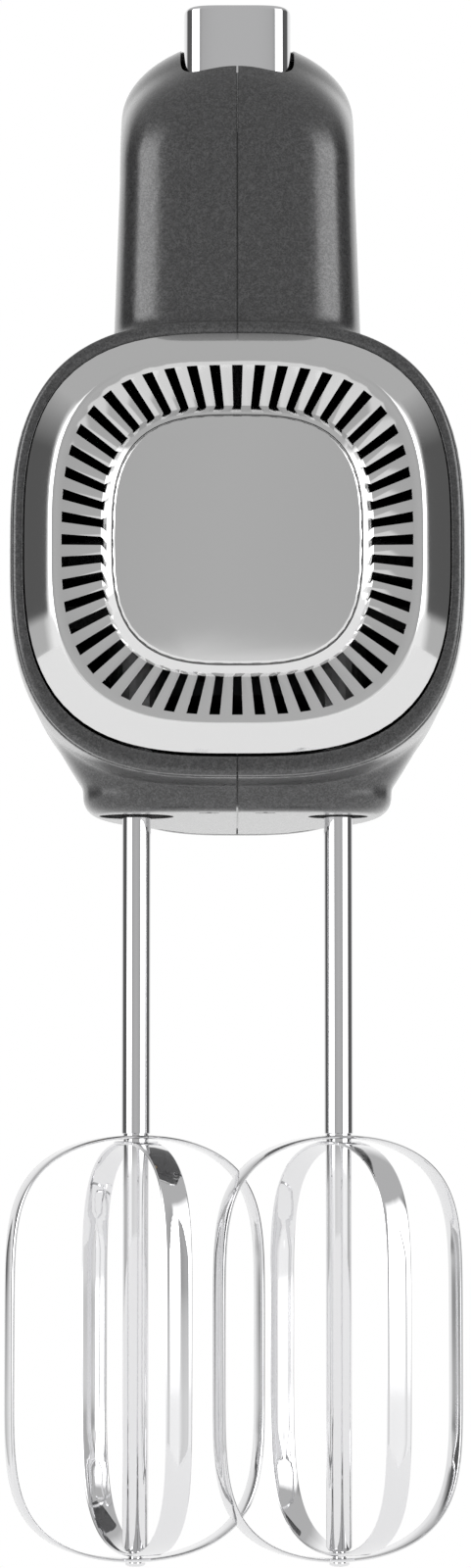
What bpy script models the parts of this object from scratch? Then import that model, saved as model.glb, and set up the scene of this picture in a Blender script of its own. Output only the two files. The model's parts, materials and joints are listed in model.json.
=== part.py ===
"""Hand mixer with two wire beaters, as an assembly of separate pieces.

X is across the mixer, -Y is its front, +Z is up. The origin is the middle of the hand grip.
Every length is in metres. Inside the script a point is given as (x, y, height): y runs backwards
from the plane of the two beater shafts, and height is measured up from the flat underside of the
gearbox. The empty called hand_mixer moves all pieces at once, so that the grip is at the origin.
"""

import math

import bmesh
import bpy
from mathutils import Matrix, Vector

# ---------------------------------------------------------------- driving dimensions

# General fits
WALL = 0.0024               # housing wall
GAP = 0.0003                # clearance between pieces that touch or run in each other
SEAM = 0.0003               # gap between the two housing halves

# Beaters
SHAFT_SPACING = 0.045       # between the two beater axes
SHAFT_RADIUS = 0.003175
SHAFT_NECK_RADIUS = SHAFT_RADIUS - 0.000325
SHAFT_TOP = 0.035           # height of the shaft's upper end inside the spindle
CAGE_TOP = -0.0712
CAGE_BOTTOM = -0.1640
CAGE_RADIUS = 0.0292
CAGE_SIDE_POWER = 2.1       # the cage outline is |r|**side + |z|**end = 1
CAGE_END_POWER = 5.2
STRIP_WIDTH = 0.0060
STRIP_THICKNESS = 0.0007
STRIP_EYE_WIDTH = 2 * SHAFT_NECK_RADIUS + 0.0043    # round the shaft, at the upper crossing
RIVET_RADIUS = 0.0014
LEFT_ANGLE = math.radians(20)
RIGHT_ANGLE = math.radians(25)
CAGE_STEPS = 32

# Barrel of the housing, which runs along Y
BARREL_FRONT = -0.0370
BARREL_END = 0.1360         # where the halves stop and the rear cap begins
CAP_DEPTH = 0.0140
HEEL = BARREL_END + CAP_DEPTH    # flat rear face of the cap
FRONT_HALF = 0.0500
REAR_HALF = 0.0440
FRONT_CENTRE = 0.0558       # height of the barrel's axis at the front
REAR_CENTRE = 0.0488
TAPER_START = 0.0300
BARREL_POWER = 3.0
RIM_EDGE = 0.0016           # rounding of the front rim
RIM_DEPTH = 0.0060          # from the front of the rim back to the groove round it
RIM_GROOVE = 0.0005
RIM_GROOVE_WIDTH = 0.0010
RIM_GROOVE_SLOPE = 0.0002
RIM_LIP_DEPTH = 0.0095
CAP_EDGE = 0.0100           # rounding of the heel
BARREL_POINTS = 36

# Belly under the barrel, which holds the gears and the beater sockets
BELLY_HALF_LOW = SHAFT_SPACING / 2 + 0.0119
BELLY_HALF_HIGH = FRONT_HALF + 0.0009
BELLY_LOW = 0.0060
BELLY_HIGH = 0.0431
BELLY_FLARE_POWER = 1.5
BELLY_FRONT_LOW = -0.0180
BELLY_FRONT_HIGH = -0.0235
BELLY_REAR_LOW = 0.0590
BELLY_REAR_HIGH = 0.0780
BELLY_EDGE = 0.0040
BELLY_MIDDLE = 0.0020       # where the straight front part meets the rounded rear part
BELLY_FRONT_POWER = 3.3
BELLY_REAR_POWER_LOW = 1.9
BELLY_REAR_POWER_HIGH = 3.4
BELLY_POINTS = 28

# Handle: a loop with a front pillar, a grip and a rear pillar
HANDLE_TOP = 0.1760
GRIP_THICKNESS = 0.0280
GRIP_UNDER = HANDLE_TOP - GRIP_THICKNESS
HANDLE_FRONT_FOOT = -0.0350
HANDLE_FRONT_TOP = -0.0290
HANDLE_REAR = 0.1390
GAP_FRONT = 0.0140
GAP_REAR = 0.1080
HANDLE_FRONT_RADIUS = 0.0325
HANDLE_REAR_RADIUS = 0.0300
GAP_RADIUS = 0.0140
HANDLE_ROOT = 0.0850        # the pillars run down to this height, inside the barrel
PILLAR_HALF = 0.0280
PILLAR_TOP_HALF = 0.0262
GRIP_HALF = 0.0195
REAR_PILLAR_HALF = 0.0200
REAR_FOOT_STEP = 0.0080     # the rear pillar leans in by this at its foot
PILLAR_POWER = 3.8
SHOULDER_POWER = 1.85
GRIP_POWER = 2.2
SHOULDER_ANGLE = 0.9        # the pillar's section has turned into the shoulder's at this angle
NARROWING_START = -0.0180   # y between which the handle narrows from the pillar to the grip
NARROWING_END = 0.0600
HANDLE_POINTS = 20
GRIP_CENTRE_Y = 0.0600
GRIP_CENTRE_HEIGHT = (HANDLE_TOP + GRIP_UNDER) / 2

# Front grille
GRILLE_HALF_X = FRONT_HALF - 0.0041
GRILLE_HALF_Z = FRONT_HALF - 0.0045
GRILLE_CENTRE = FRONT_CENTRE + 0.0006
GRILLE_FRONT = -0.0450
GRILLE_EDGE = -0.0395
GRILLE_BACK = -0.0290
RIDGE_HALF = GRILLE_HALF_Z - 0.0055
SLOT_OUTER_HALF = RIDGE_HALF - 0.0023
SLOT_INNER_HALF = SLOT_OUTER_HALF - 0.0084
PLATE_HALF = SLOT_INNER_HALF - 0.0025
PLATE_EDGE = 0.0004
PLATE_SEAT_STEP = 0.0005    # from the grille's front back to the rim of the plate's seat
SLOT_COUNT = 52
SLOT_SHARE = 0.47           # of the pitch, the rest being the rib
DISH = 0.0028               # how far the ring of slots falls back towards the middle
FLOOR_SHARE = 0.75          # the plate's floor lies this share of the dish behind the front
GRILLE_WALL = 0.0016
GRILLE_POWER = 3.0

# Eject button and its linkage
BUTTON_HALF_X = 0.01194
BUTTON_FRONT = -0.0200
BUTTON_REAR = 0.0060
BUTTON_TOP = HANDLE_TOP + 0.0031
BUTTON_BASE = GRIP_UNDER + 0.0020
BUTTON_EDGE = 0.0010
BUTTON_POWER = 5.0
BUTTON_GAP = 0.0009
BUTTON_FLANGE = 0.0016
FLANGE_THICKNESS = 0.0024
STEM_GAP = 0.0008
STEM_HALF_X = 0.0030
STEM_HALF_Y = 0.0040
YOKE_TOP = 0.0830
YOKE_THICKNESS = 0.0036
SPRING_ROOM = 0.0305         # between the spring's seat and the button
SPRING_SEAT_TOP = BUTTON_BASE - SPRING_ROOM
SPRING_RADIUS = 0.0070
SPRING_WIRE = 0.0006
SPRING_TURNS = 5

# Spindles, gears and motor
MOTOR_AXIS = 0.0560
GEAR_TEETH = 24
WORM_STARTS = 2
MODULE = 0.0015
TOOTH_SHARE = 0.40
ADDENDUM = 0.0011
DEDENDUM = 0.0014
GEAR_ROOT_SHARE = 0.66      # of half a tooth's share, at the root and at the tip
GEAR_TIP_SHARE = 0.34
WORM_ROOT_END = 0.42        # share of the pitch where the worm's root circle begins
WORM_TIP_SHARES = (0.36, 0.12)
GEAR_WIDTH = 0.0080
WORM_LENGTH = 0.0220
SPINDLE_BORE = SHAFT_RADIUS + 0.000325
SPINDLE_RADIUS = SPINDLE_BORE + 0.0025
SPINDLE_BASE = 0.0020
SPINDLE_TOP = 0.0660
HEX_RADIUS = SHAFT_RADIUS + 0.001625
HEX_NECK_RADIUS = SHAFT_RADIUS - 0.000775
HEX_BASE = 0.0060
HEX_TOP = 0.0160
SOCKET_LEFT_RADIUS = SPINDLE_RADIUS + 0.0023
SOCKET_RIGHT_RADIUS = SPINDLE_RADIUS + 0.00065
PIN_HEAD_RADIUS = SHAFT_NECK_RADIUS + 0.00175
PIN_HEAD_THICKNESS = 0.0035
CARRIER_LOW = 0.0400
CARRIER_HIGH = 0.0450
CARRIER_HALF_X = BELLY_HALF_HIGH - 0.0079
CARRIER_HALF_Y = 0.0205
BUSH_RADIUS = SPINDLE_RADIUS + 0.0020
SOCKET_BUSH_RADIUS = SPINDLE_RADIUS + 0.0026
CARRIER_RIB_INNER = SHAFT_SPACING / 2 + 0.0120
CARRIER_RIB_OUTER = CARRIER_HALF_X - 0.0020
CARRIER_RIB_HALF = 0.0015
CIRCLIP_RIM = 0.0016
CIRCLIP_THICKNESS = 0.0012
CIRCLIP_OPENING = math.radians(50)
SOCKET_BUSH_LOW = 0.0055
SOCKET_BUSH_HIGH = 0.0095
BEARING_RADIUS = 0.0080
BEARING_WIDTH = 0.0050
BEARING_OFFSET = 0.0175     # of the two worm bearings in front of and behind the gears
UPRIGHT_HALF_X = 0.0100
UPRIGHT_HALF_Y = 0.0022
BEARING_WALL = 0.0030       # of what holds a bearing, all round it
MOTOR_SHAFT_RADIUS = 0.0030
FAN_Y = 0.0290
FAN_WIDTH = 0.0090
FAN_RADIUS = 0.0240
FAN_HUB = 0.0100
FAN_BLADES = 9
STACK_LOW_Y = 0.0400
STACK_HIGH_Y = 0.0680
ARMATURE_RADIUS = 0.0150
ARMATURE_SLOTS = 12
AIR_GAP = 0.0008
STACK_HALF_X = 0.0300
STACK_HALF_Z = 0.0250
STACK_FRAME = 0.0060        # width of the iron round the coils
POLE_NECK_HALF = 0.0075
POLE_SHOE_HALF = 0.0125
POLE_SHOE_THICKNESS = 0.0030
COIL_TURN = 0.0042          # how far a coil stands out past the iron it is wound on
BRUSH_HALF_Y = 0.0025
BRUSH_HALF_Z = 0.0035
BRUSH_LENGTH = 0.0120
BRUSH_HOLDER_WALL = 0.0012
BRUSH_HOLDER_EXTRA = 0.0080
COMMUTATOR_Y = 0.0800
COMMUTATOR_WIDTH = 0.0100
COMMUTATOR_RADIUS = 0.0090
REAR_BEARING_Y = 0.0930
ROTOR_FRONT = -0.0215
ROTOR_REAR = 0.0970

# Speed slider
SLIDER_FRONT = 0.0220
SLIDER_LENGTH = 0.0160
SLIDER_TRAVEL = 0.0200
SLIDER_NECK_HALF = 0.0040
SLIDER_CAP_HALF = 0.0075
SLIDER_CAP_HEIGHT = 0.0042
SLIDER_NECK_DEPTH = 0.0070
SLIDER_BASE_THICKNESS = 0.0020
SWITCH_HALF = 0.0080
BOARD_HALF = 0.0260
BOARD_Y = 0.1080
BOARD_THICKNESS = 0.0016
BOARD_LOW = 0.0280
BOARD_HIGH = 0.0800
TERMINAL_HALF = 0.0090
TERMINAL_FRONT = 0.1160
TERMINAL_REAR = 0.1290
TERMINAL_LOW = 0.0700
TERMINAL_HIGH = 0.0800

# Screws that hold the halves together: (y, height, how far the head sits from the seam)
SCREWS = (
    (0.0060, GRIP_UNDER - 0.0200, 0.0090),
    (0.0860, GRIP_CENTRE_HEIGHT, 0.0080),
    (HANDLE_REAR - 0.0155, GRIP_UNDER - 0.0180, 0.0090),
    (BARREL_END - 0.0180, 0.0220, 0.0110),
    (0.0500, 0.0130, 0.0110),
)
SCREW_BOSS_RADIUS = 0.0046
SCREW_HEAD_RADIUS = 0.0029
SCREW_RADIUS = 0.0015
SCREW_LENGTH = 0.0160
SCREW_HEAD_THICKNESS = 0.0020

# Cord inlet at the back of the handle
INLET_HEIGHT = 0.1180
INLET_DEPTH = 0.0100
INLET_STAND = 0.0040
INLET_RADIUS = 0.0060
INLET_HOLE = 0.0036
INLET_FLANGE = 0.0080


# ---------------------------------------------------------------- scene and materials

for leftover in list(bpy.data.objects):
    bpy.data.objects.remove(leftover, do_unlink=True)


def make_material(name, colour, roughness, metallic):
    material = bpy.data.materials.new(name)
    material.use_nodes = True
    shader = material.node_tree.nodes["Principled BSDF"]
    shader.inputs["Base Color"].default_value = (*colour, 1.0)
    shader.inputs["Roughness"].default_value = roughness
    shader.inputs["Metallic"].default_value = metallic
    material.diffuse_color = (*colour, 1.0)
    return material


PAINTED = make_material("gunmetal_paint", (0.060, 0.060, 0.063), 0.38, 0.35)
SATIN = make_material("satin_chrome", (0.62, 0.62, 0.63), 0.25, 1.0)
STEEL = make_material("polished_steel", (0.72, 0.72, 0.73), 0.12, 1.0)
NYLON = make_material("filled_nylon", (0.035, 0.035, 0.037), 0.45, 0.0)
BLACK = make_material("black_plastic", (0.020, 0.020, 0.022), 0.50, 0.0)
IRON = make_material("lamination_iron", (0.25, 0.26, 0.28), 0.45, 0.9)
COPPER = make_material("enamelled_copper", (0.65, 0.26, 0.10), 0.35, 0.9)
BRONZE = make_material("bronze_bush", (0.55, 0.38, 0.18), 0.40, 1.0)
CARBON = make_material("brush_carbon", (0.03, 0.03, 0.03), 0.70, 0.0)
BOARD = make_material("circuit_board", (0.02, 0.16, 0.08), 0.45, 0.0)

assembly = bpy.data.objects.new("hand_mixer", None)
assembly.location = (0.0, -GRIP_CENTRE_Y, -GRIP_CENTRE_HEIGHT)
bpy.context.scene.collection.objects.link(assembly)


def place(name, mesh, material, location=(0.0, 0.0, 0.0)):
    """An object of the assembly. Its mesh is given round the point where its origin goes."""
    part = bpy.data.objects.new(name, mesh)
    bpy.context.scene.collection.objects.link(part)
    part.parent = assembly
    part.location = location
    mesh.materials.clear()
    mesh.materials.append(material)
    mesh.shade_smooth()
    mesh.set_sharp_from_angle(angle=math.radians(30))
    return part


# ---------------------------------------------------------------- shape helpers

FLAT_ANGLE = math.radians(0.2)
MERGE_DISTANCE = 2e-6
FAR = 0.3                   # past the outside of everything


def finished(bm, name):
    """The mesh of bm, with its faces pointing out."""
    bmesh.ops.recalc_face_normals(bm, faces=bm.faces)
    mesh = bpy.data.meshes.new(name)
    bm.to_mesh(mesh)
    bm.free()
    return mesh


def loft(bm, rings, closed=False):
    """Skins rings of equal length and caps the ends, unless the last ring joins the first."""
    rows = [[bm.verts.new(point) for point in ring] for ring in rings]
    pairs = list(zip(rows, rows[1:]))
    if closed:
        pairs.append((rows[-1], rows[0]))
    for low, high in pairs:
        for i in range(len(low)):
            j = (i + 1) % len(low)
            bm.faces.new((low[i], low[j], high[j], high[i]))
    if not closed:
        bm.faces.new(rows[0])
        bm.faces.new(rows[-1])


def lofted(name, rings, closed=False):
    bm = bmesh.new()
    loft(bm, rings, closed)
    return finished(bm, name)


def signed_power(value, power):
    return math.copysign(abs(value) ** power, value)


def squircle(half_x, half_z, power, count):
    """Points (x, z) of a superellipse, the first at the top."""
    points = []
    for i in range(count):
        angle = math.tau * i / count
        points.append(
            (
                half_x * signed_power(math.sin(angle), 2 / power),
                half_z * signed_power(math.cos(angle), 2 / power),
            )
        )
    return points


def circle(radius, count, turn=0.0):
    return [
        (
            radius * math.sin(turn + math.tau * i / count),
            radius * math.cos(turn + math.tau * i / count),
        )
        for i in range(count)
    ]


def along_y(outline, y, height=0.0):
    """The outline stands up in the plane of that y."""
    return [Vector((x, y, height + z)) for x, z in outline]


def along_z(outline, height, x=0.0, y=0.0):
    """The outline lies flat at that height."""
    return [Vector((x + u, y + v, height)) for u, v in outline]


def turned(name, profile, stand, count=24, closed=False):
    """Turns (radius, distance) pairs. stand is along_z or along_y, for an axis along that one."""
    return lofted(name, [stand(circle(r, count), d) for r, d in profile], closed)


def ring_profile(inner, outer, low, high):
    return [(inner, low), (outer, low), (outer, high), (inner, high)]


def block(name, low, high):
    bm = bmesh.new()
    bmesh.ops.create_cube(bm, size=1.0)
    size = [high[i] - low[i] for i in range(3)]
    middle = [(high[i] + low[i]) / 2 for i in range(3)]
    for vert in bm.verts:
        vert.co = [vert.co[i] * size[i] + middle[i] for i in range(3)]
    return finished(bm, name)


def helper(mesh):
    """An object that only cuts or joins another piece."""
    tool = bpy.data.objects.new(mesh.name, mesh)
    tool.hide_render = True
    tool.display_type = "WIRE"
    bpy.context.scene.collection.objects.link(tool)
    return tool


def carved(name, base, steps):
    """The mesh left after each (operation, mesh) of steps has been done to base in turn."""
    body = helper(base)
    tools = []
    for operation, mesh in steps:
        tools.append(helper(mesh))
        modifier = body.modifiers.new(operation, "BOOLEAN")
        modifier.operation = operation
        modifier.solver = "EXACT"
        modifier.object = tools[-1]
    graph = bpy.context.evaluated_depsgraph_get()
    result = bpy.data.meshes.new_from_object(body.evaluated_get(graph))
    result.name = name
    for tool in [body] + tools:
        bpy.data.objects.remove(tool, do_unlink=True)
    return cleaned(result)


def cleaned(mesh):
    """Merges the doubled points and drops the slivers that a Boolean can leave."""
    bm = bmesh.new()
    bm.from_mesh(mesh)
    bmesh.ops.remove_doubles(bm, verts=bm.verts, dist=MERGE_DISTANCE)
    bmesh.ops.dissolve_degenerate(bm, dist=MERGE_DISTANCE, edges=bm.edges)
    bm.to_mesh(mesh)
    bm.free()
    return mesh


def triangulated(mesh):
    bm = bmesh.new()
    bm.from_mesh(mesh)
    bmesh.ops.triangulate(bm, faces=bm.faces)
    bm.to_mesh(mesh)
    bm.free()
    return mesh


def joined_flats(mesh):
    """Joins the faces that lie in one plane, which leaves fewer triangles."""
    bm = bmesh.new()
    bm.from_mesh(mesh)
    bmesh.ops.dissolve_limit(
        bm, angle_limit=FLAT_ANGLE, verts=bm.verts, edges=bm.edges, use_dissolve_boundaries=False
    )
    bm.to_mesh(mesh)
    bm.free()
    return mesh


def cylinder_x(name, radius, low, high, y, height, count=20):
    """A cylinder along X."""
    rings = []
    for x in (low, high):
        rings.append([Vector((x, y + u, height + v)) for u, v in circle(radius, count)])
    return lofted(name, rings)


def ease(value, low, high):
    """0 up to low and 1 from high on, with a smooth change between."""
    share = min(max((value - low) / (high - low), 0.0), 1.0)
    return share * share * (3 - 2 * share)


# ---------------------------------------------------------------- housing surfaces


def barrel_half(y):
    return FRONT_HALF + (REAR_HALF - FRONT_HALF) * ease(y, TAPER_START, HEEL)


def barrel_centre(y):
    return FRONT_CENTRE + (REAR_CENTRE - FRONT_CENTRE) * ease(y, TAPER_START, HEEL)


def barrel_ring(y, inset):
    half = barrel_half(y) - inset
    return along_y(squircle(half, half, BARREL_POWER, BARREL_POINTS), y, barrel_centre(y))


def spread(low, high, steps):
    return [low + (high - low) * i / steps for i in range(steps + 1)]


def barrel_outside():
    groove = BARREL_FRONT + RIM_DEPTH
    rings = [
        barrel_ring(BARREL_FRONT, RIM_EDGE),
        barrel_ring(BARREL_FRONT + RIM_EDGE * 0.3, RIM_EDGE * 0.3),
        barrel_ring(BARREL_FRONT + RIM_EDGE, 0.0),
        barrel_ring(groove, 0.0),
        barrel_ring(groove + RIM_GROOVE_SLOPE, RIM_GROOVE),
        barrel_ring(groove + RIM_GROOVE_WIDTH - RIM_GROOVE_SLOPE, RIM_GROOVE),
        barrel_ring(groove + RIM_GROOVE_WIDTH, 0.0),
    ]
    rings += [barrel_ring(y, 0.0) for y in spread(TAPER_START, BARREL_END, 7)]
    return lofted("barrel_outside", rings)


def barrel_inside():
    start = BARREL_FRONT + RIM_LIP_DEPTH
    rings = [barrel_ring(start, WALL)]
    rings += [barrel_ring(y, WALL) for y in spread(TAPER_START, BARREL_END + 0.004, 7)]
    return lofted("barrel_inside", rings)


def belly_ring(height, inset):
    """The belly's outline at a height, rounded under BELLY_EDGE and flaring up to BELLY_HIGH."""
    share = min(max((height - BELLY_LOW) / (BELLY_HIGH - BELLY_LOW), 0.0), 1.0)
    flare = 1 - (1 - share) ** BELLY_FLARE_POWER
    half = BELLY_HALF_LOW + (BELLY_HALF_HIGH - BELLY_HALF_LOW) * flare - inset
    front = BELLY_FRONT_LOW + (BELLY_FRONT_HIGH - BELLY_FRONT_LOW) * share + inset
    rear = BELLY_REAR_LOW + (BELLY_REAR_HIGH - BELLY_REAR_LOW) * flare - inset
    lowest = inset
    edge = BELLY_EDGE
    if height < lowest + edge:
        drop = 1 - (height - lowest) / edge
        pull = edge * (1 - math.sqrt(max(1 - drop * drop, 0.0)))
        half, front, rear = half - pull, front + pull, rear - pull
    rear_power = BELLY_REAR_POWER_LOW + (BELLY_REAR_POWER_HIGH - BELLY_REAR_POWER_LOW) * flare
    ring = []
    for i in range(BELLY_POINTS):
        angle = math.tau * (i + 0.5) / BELLY_POINTS
        back = math.cos(angle) > 0
        power = rear_power if back else BELLY_FRONT_POWER
        depth = rear - BELLY_MIDDLE if back else BELLY_MIDDLE - front
        x = half * signed_power(math.sin(angle), 2 / power)
        y = BELLY_MIDDLE + depth * signed_power(math.cos(angle), 2 / power)
        ring.append(Vector((x, y, height)))
    return ring


def belly(name, inset):
    heights = [inset + BELLY_EDGE * share for share in (0.0, 0.15, 0.5, 1.0)]
    heights += spread(BELLY_LOW + inset, BELLY_HIGH, 7)[1:]
    rings = [belly_ring(height, inset) for height in heights]
    rings.append(belly_ring(BELLY_HIGH + 0.0018, inset + 0.0030))
    return lofted(name, rings)


def narrowing(y):
    """0 at the front pillar and 1 where the handle has the grip's own section."""
    return ease(y, NARROWING_START, NARROWING_END)


def grip_half(y):
    return PILLAR_TOP_HALF + (GRIP_HALF - PILLAR_TOP_HALF) * narrowing(y)


def handle_stations():
    """(inner point, outer point, half width, power) round the handle, each point as (y, height)."""
    front_centre = (HANDLE_FRONT_TOP + HANDLE_FRONT_RADIUS, HANDLE_TOP - HANDLE_FRONT_RADIUS)
    rear_centre = (HANDLE_REAR - HANDLE_REAR_RADIUS, HANDLE_TOP - HANDLE_REAR_RADIUS)
    gap_height = GRIP_UNDER - GAP_RADIUS
    stations = []
    for height in spread(HANDLE_ROOT, front_centre[1], 3)[:-1]:
        share = (height - HANDLE_ROOT) / (front_centre[1] - HANDLE_ROOT)
        front = HANDLE_FRONT_FOOT + (HANDLE_FRONT_TOP - HANDLE_FRONT_FOOT) * share
        half = PILLAR_HALF + (PILLAR_TOP_HALF - PILLAR_HALF) * share
        inner = (GAP_FRONT, HANDLE_ROOT + (gap_height - HANDLE_ROOT) * share)
        stations.append((inner, (front, height), half, PILLAR_POWER))
    for angle in spread(0.0, math.pi / 2, 7):
        share = ease(angle, 0.0, SHOULDER_ANGLE)
        turn = Vector((-math.cos(angle), math.sin(angle)))
        inner = Vector((GAP_FRONT + GAP_RADIUS, gap_height)) + turn * GAP_RADIUS
        outer = Vector(front_centre) + turn * HANDLE_FRONT_RADIUS
        power = PILLAR_POWER + (SHOULDER_POWER - PILLAR_POWER) * share
        stations.append((tuple(inner), tuple(outer), grip_half(outer[0]), power))
    for share in (0.25, 0.5, 0.75):
        inner_y = GAP_FRONT + GAP_RADIUS + share * (GAP_REAR - GAP_FRONT - 2 * GAP_RADIUS)
        outer_y = front_centre[0] + share * (rear_centre[0] - front_centre[0])
        half = grip_half(outer_y)
        power = SHOULDER_POWER + (GRIP_POWER - SHOULDER_POWER) * narrowing(outer_y)
        stations.append(((inner_y, GRIP_UNDER), (outer_y, HANDLE_TOP), half, power))
    for angle in spread(math.pi / 2, 0.0, 6):
        turn = Vector((math.cos(angle), math.sin(angle)))
        inner = Vector((GAP_REAR - GAP_RADIUS, gap_height)) + turn * GAP_RADIUS
        outer = Vector(rear_centre) + turn * HANDLE_REAR_RADIUS
        stations.append((tuple(inner), tuple(outer), GRIP_HALF, GRIP_POWER))
    foot = HANDLE_REAR - REAR_FOOT_STEP
    stations.append(((GAP_REAR, HANDLE_ROOT), (foot, HANDLE_ROOT), REAR_PILLAR_HALF, GRIP_POWER))
    return stations


def handle(name, inset, root_drop=0.0):
    """The handle's loop, shrunk all round by inset and run down by root_drop at its two roots."""
    rings = []
    stations = handle_stations()
    for number, (inner, outer, half, power) in enumerate(stations):
        low, high = Vector(inner), Vector(outer)
        if number in (0, len(stations) - 1):
            low.y -= root_drop
            high.y -= root_drop
        across = (high - low).normalized()
        middle = (low + high) / 2
        reach = (high - low).length / 2 - inset
        ring = []
        for x, n in squircle(half - inset, reach, power, HANDLE_POINTS):
            spot = middle + across * n
            ring.append(Vector((x, spot.x, spot.y)))
        rings.append(ring)
    return lofted(name, rings)


# ---------------------------------------------------------------- housing


def button_outline(extra):
    half_y = (BUTTON_REAR - BUTTON_FRONT) / 2
    return squircle(BUTTON_HALF_X + extra, half_y + extra, BUTTON_POWER, 24)


BUTTON_Y = (BUTTON_FRONT + BUTTON_REAR) / 2
SPACING_HALF = SHAFT_SPACING / 2
SLOT_END = SLIDER_FRONT + SLIDER_LENGTH + SLIDER_TRAVEL + GAP
SEAT_THICKNESS = 0.0025


def housing_shell():
    lip = GRILLE_HALF_X + GAP
    rim_bore = [
        along_y(squircle(lip, GRILLE_HALF_Z + GAP, GRILLE_POWER, BARREL_POINTS), y, GRILLE_CENTRE)
        for y in (BARREL_FRONT - FAR, BARREL_FRONT + RIM_LIP_DEPTH + 0.001)
    ]
    button_hole = [
        along_z(button_outline(BUTTON_GAP), height, 0.0, BUTTON_Y)
        for height in (GRIP_UNDER, HANDLE_TOP + 0.010)
    ]
    steps = [
        ("UNION", belly("belly_outside", 0.0)),
        ("UNION", handle("handle_outside", 0.0)),
        ("DIFFERENCE", barrel_inside()),
        ("DIFFERENCE", belly("belly_inside", WALL)),
        ("DIFFERENCE", handle("handle_inside", WALL, 0.002)),
        ("DIFFERENCE", lofted("rim_bore", rim_bore)),
        ("DIFFERENCE", lofted("button_hole", button_hole)),
        (
            "DIFFERENCE",
            block(
                "slider_slot",
                (-SLIDER_NECK_HALF - GAP, SLIDER_FRONT - GAP, HANDLE_TOP - 0.006),
                (SLIDER_NECK_HALF + GAP, SLOT_END, HANDLE_TOP + 0.004),
            ),
        ),
        (
            "DIFFERENCE",
            turned(
                "inlet_hole",
                [(INLET_RADIUS + GAP, HANDLE_REAR - 2 * INLET_DEPTH), (INLET_RADIUS + GAP, FAR)],
                lambda outline, y: along_y(outline, y, INLET_HEIGHT),
            ),
        ),
    ]
    for x, radius in ((-SPACING_HALF, SOCKET_LEFT_RADIUS), (SPACING_HALF, SOCKET_RIGHT_RADIUS)):
        socket = [along_z(circle(radius, 28), h, x) for h in (-0.002, WALL + 0.002)]
        steps.append(("DIFFERENCE", lofted("socket_hole", socket)))
    seat_low = SPRING_SEAT_TOP - SEAT_THICKNESS
    seat = block(
        "spring_seat",
        (-PILLAR_HALF + WALL / 2, HANDLE_FRONT_FOOT + WALL, seat_low),
        (PILLAR_HALF - WALL / 2, GAP_FRONT - WALL / 2, SPRING_SEAT_TOP),
    )
    inside = carved("seat", seat, [("INTERSECT", handle("seat_limit", WALL / 2))])
    steps.append(("UNION", inside))
    steps.append(
        (
            "DIFFERENCE",
            block(
                "stem_hole",
                (-STEM_HALF_X - STEM_GAP, BUTTON_Y - STEM_HALF_Y - STEM_GAP, seat_low - 0.002),
                (STEM_HALF_X + STEM_GAP, BUTTON_Y + STEM_HALF_Y + STEM_GAP, SPRING_SEAT_TOP + 0.002),
            ),
        )
    )
    for side in (-1, 1):
        near, far = sorted((side * CARRIER_RIB_INNER, side * CARRIER_RIB_OUTER))
        rib = block(
            "carrier_rib",
            (near, -CARRIER_RIB_HALF, BELLY_LOW),
            (far, CARRIER_RIB_HALF, CARRIER_LOW - GAP),
        )
        inside = carved("rib", rib, [("INTERSECT", belly("rib_limit", WALL / 2))])
        steps.append(("UNION", inside))
    return carved("shell", barrel_outside(), steps)


def screw_boss(y, height):
    """The pillar round one screw, from wall to wall."""
    limit = [("INTERSECT", union_of_inset_surfaces(WALL / 2))]
    reach = FRONT_HALF
    return carved("boss", cylinder_x("boss", SCREW_BOSS_RADIUS, -reach, reach, y, height), limit)


def union_of_inset_surfaces(inset):
    steps = [("UNION", belly("belly_limit", inset)), ("UNION", handle("handle_limit", inset))]
    rings = [barrel_ring(y, inset) for y in spread(BARREL_FRONT + 0.002, BARREL_END - 0.001, 8)]
    return carved("limit", lofted("barrel_limit", rings), steps)


def make_housing():
    steps = []
    for y, height, _ in SCREWS:
        steps.append(("UNION", screw_boss(y, height)))
    for y, height, head in SCREWS:
        pilot = SCREW_LENGTH - head + 0.001
        holes = (
            (SCREW_RADIUS + GAP, -pilot, head + 0.001),
            (SCREW_HEAD_RADIUS + GAP, head, BELLY_HALF_HIGH + 0.002),
        )
        for radius, low, high in holes:
            steps.append(("DIFFERENCE", cylinder_x("screw_hole", radius, low, high, y, height)))
    whole = triangulated(carved("housing", housing_shell(), steps))
    for name, low, high in (("housing_left", -FAR, -SEAM / 2), ("housing_right", SEAM / 2, FAR)):
        side = block("side", (low, -FAR, -FAR), (high, FAR, FAR))
        half = carved(name, whole.copy(), [("INTERSECT", side)])
        place(name, joined_flats(half), PAINTED)


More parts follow.
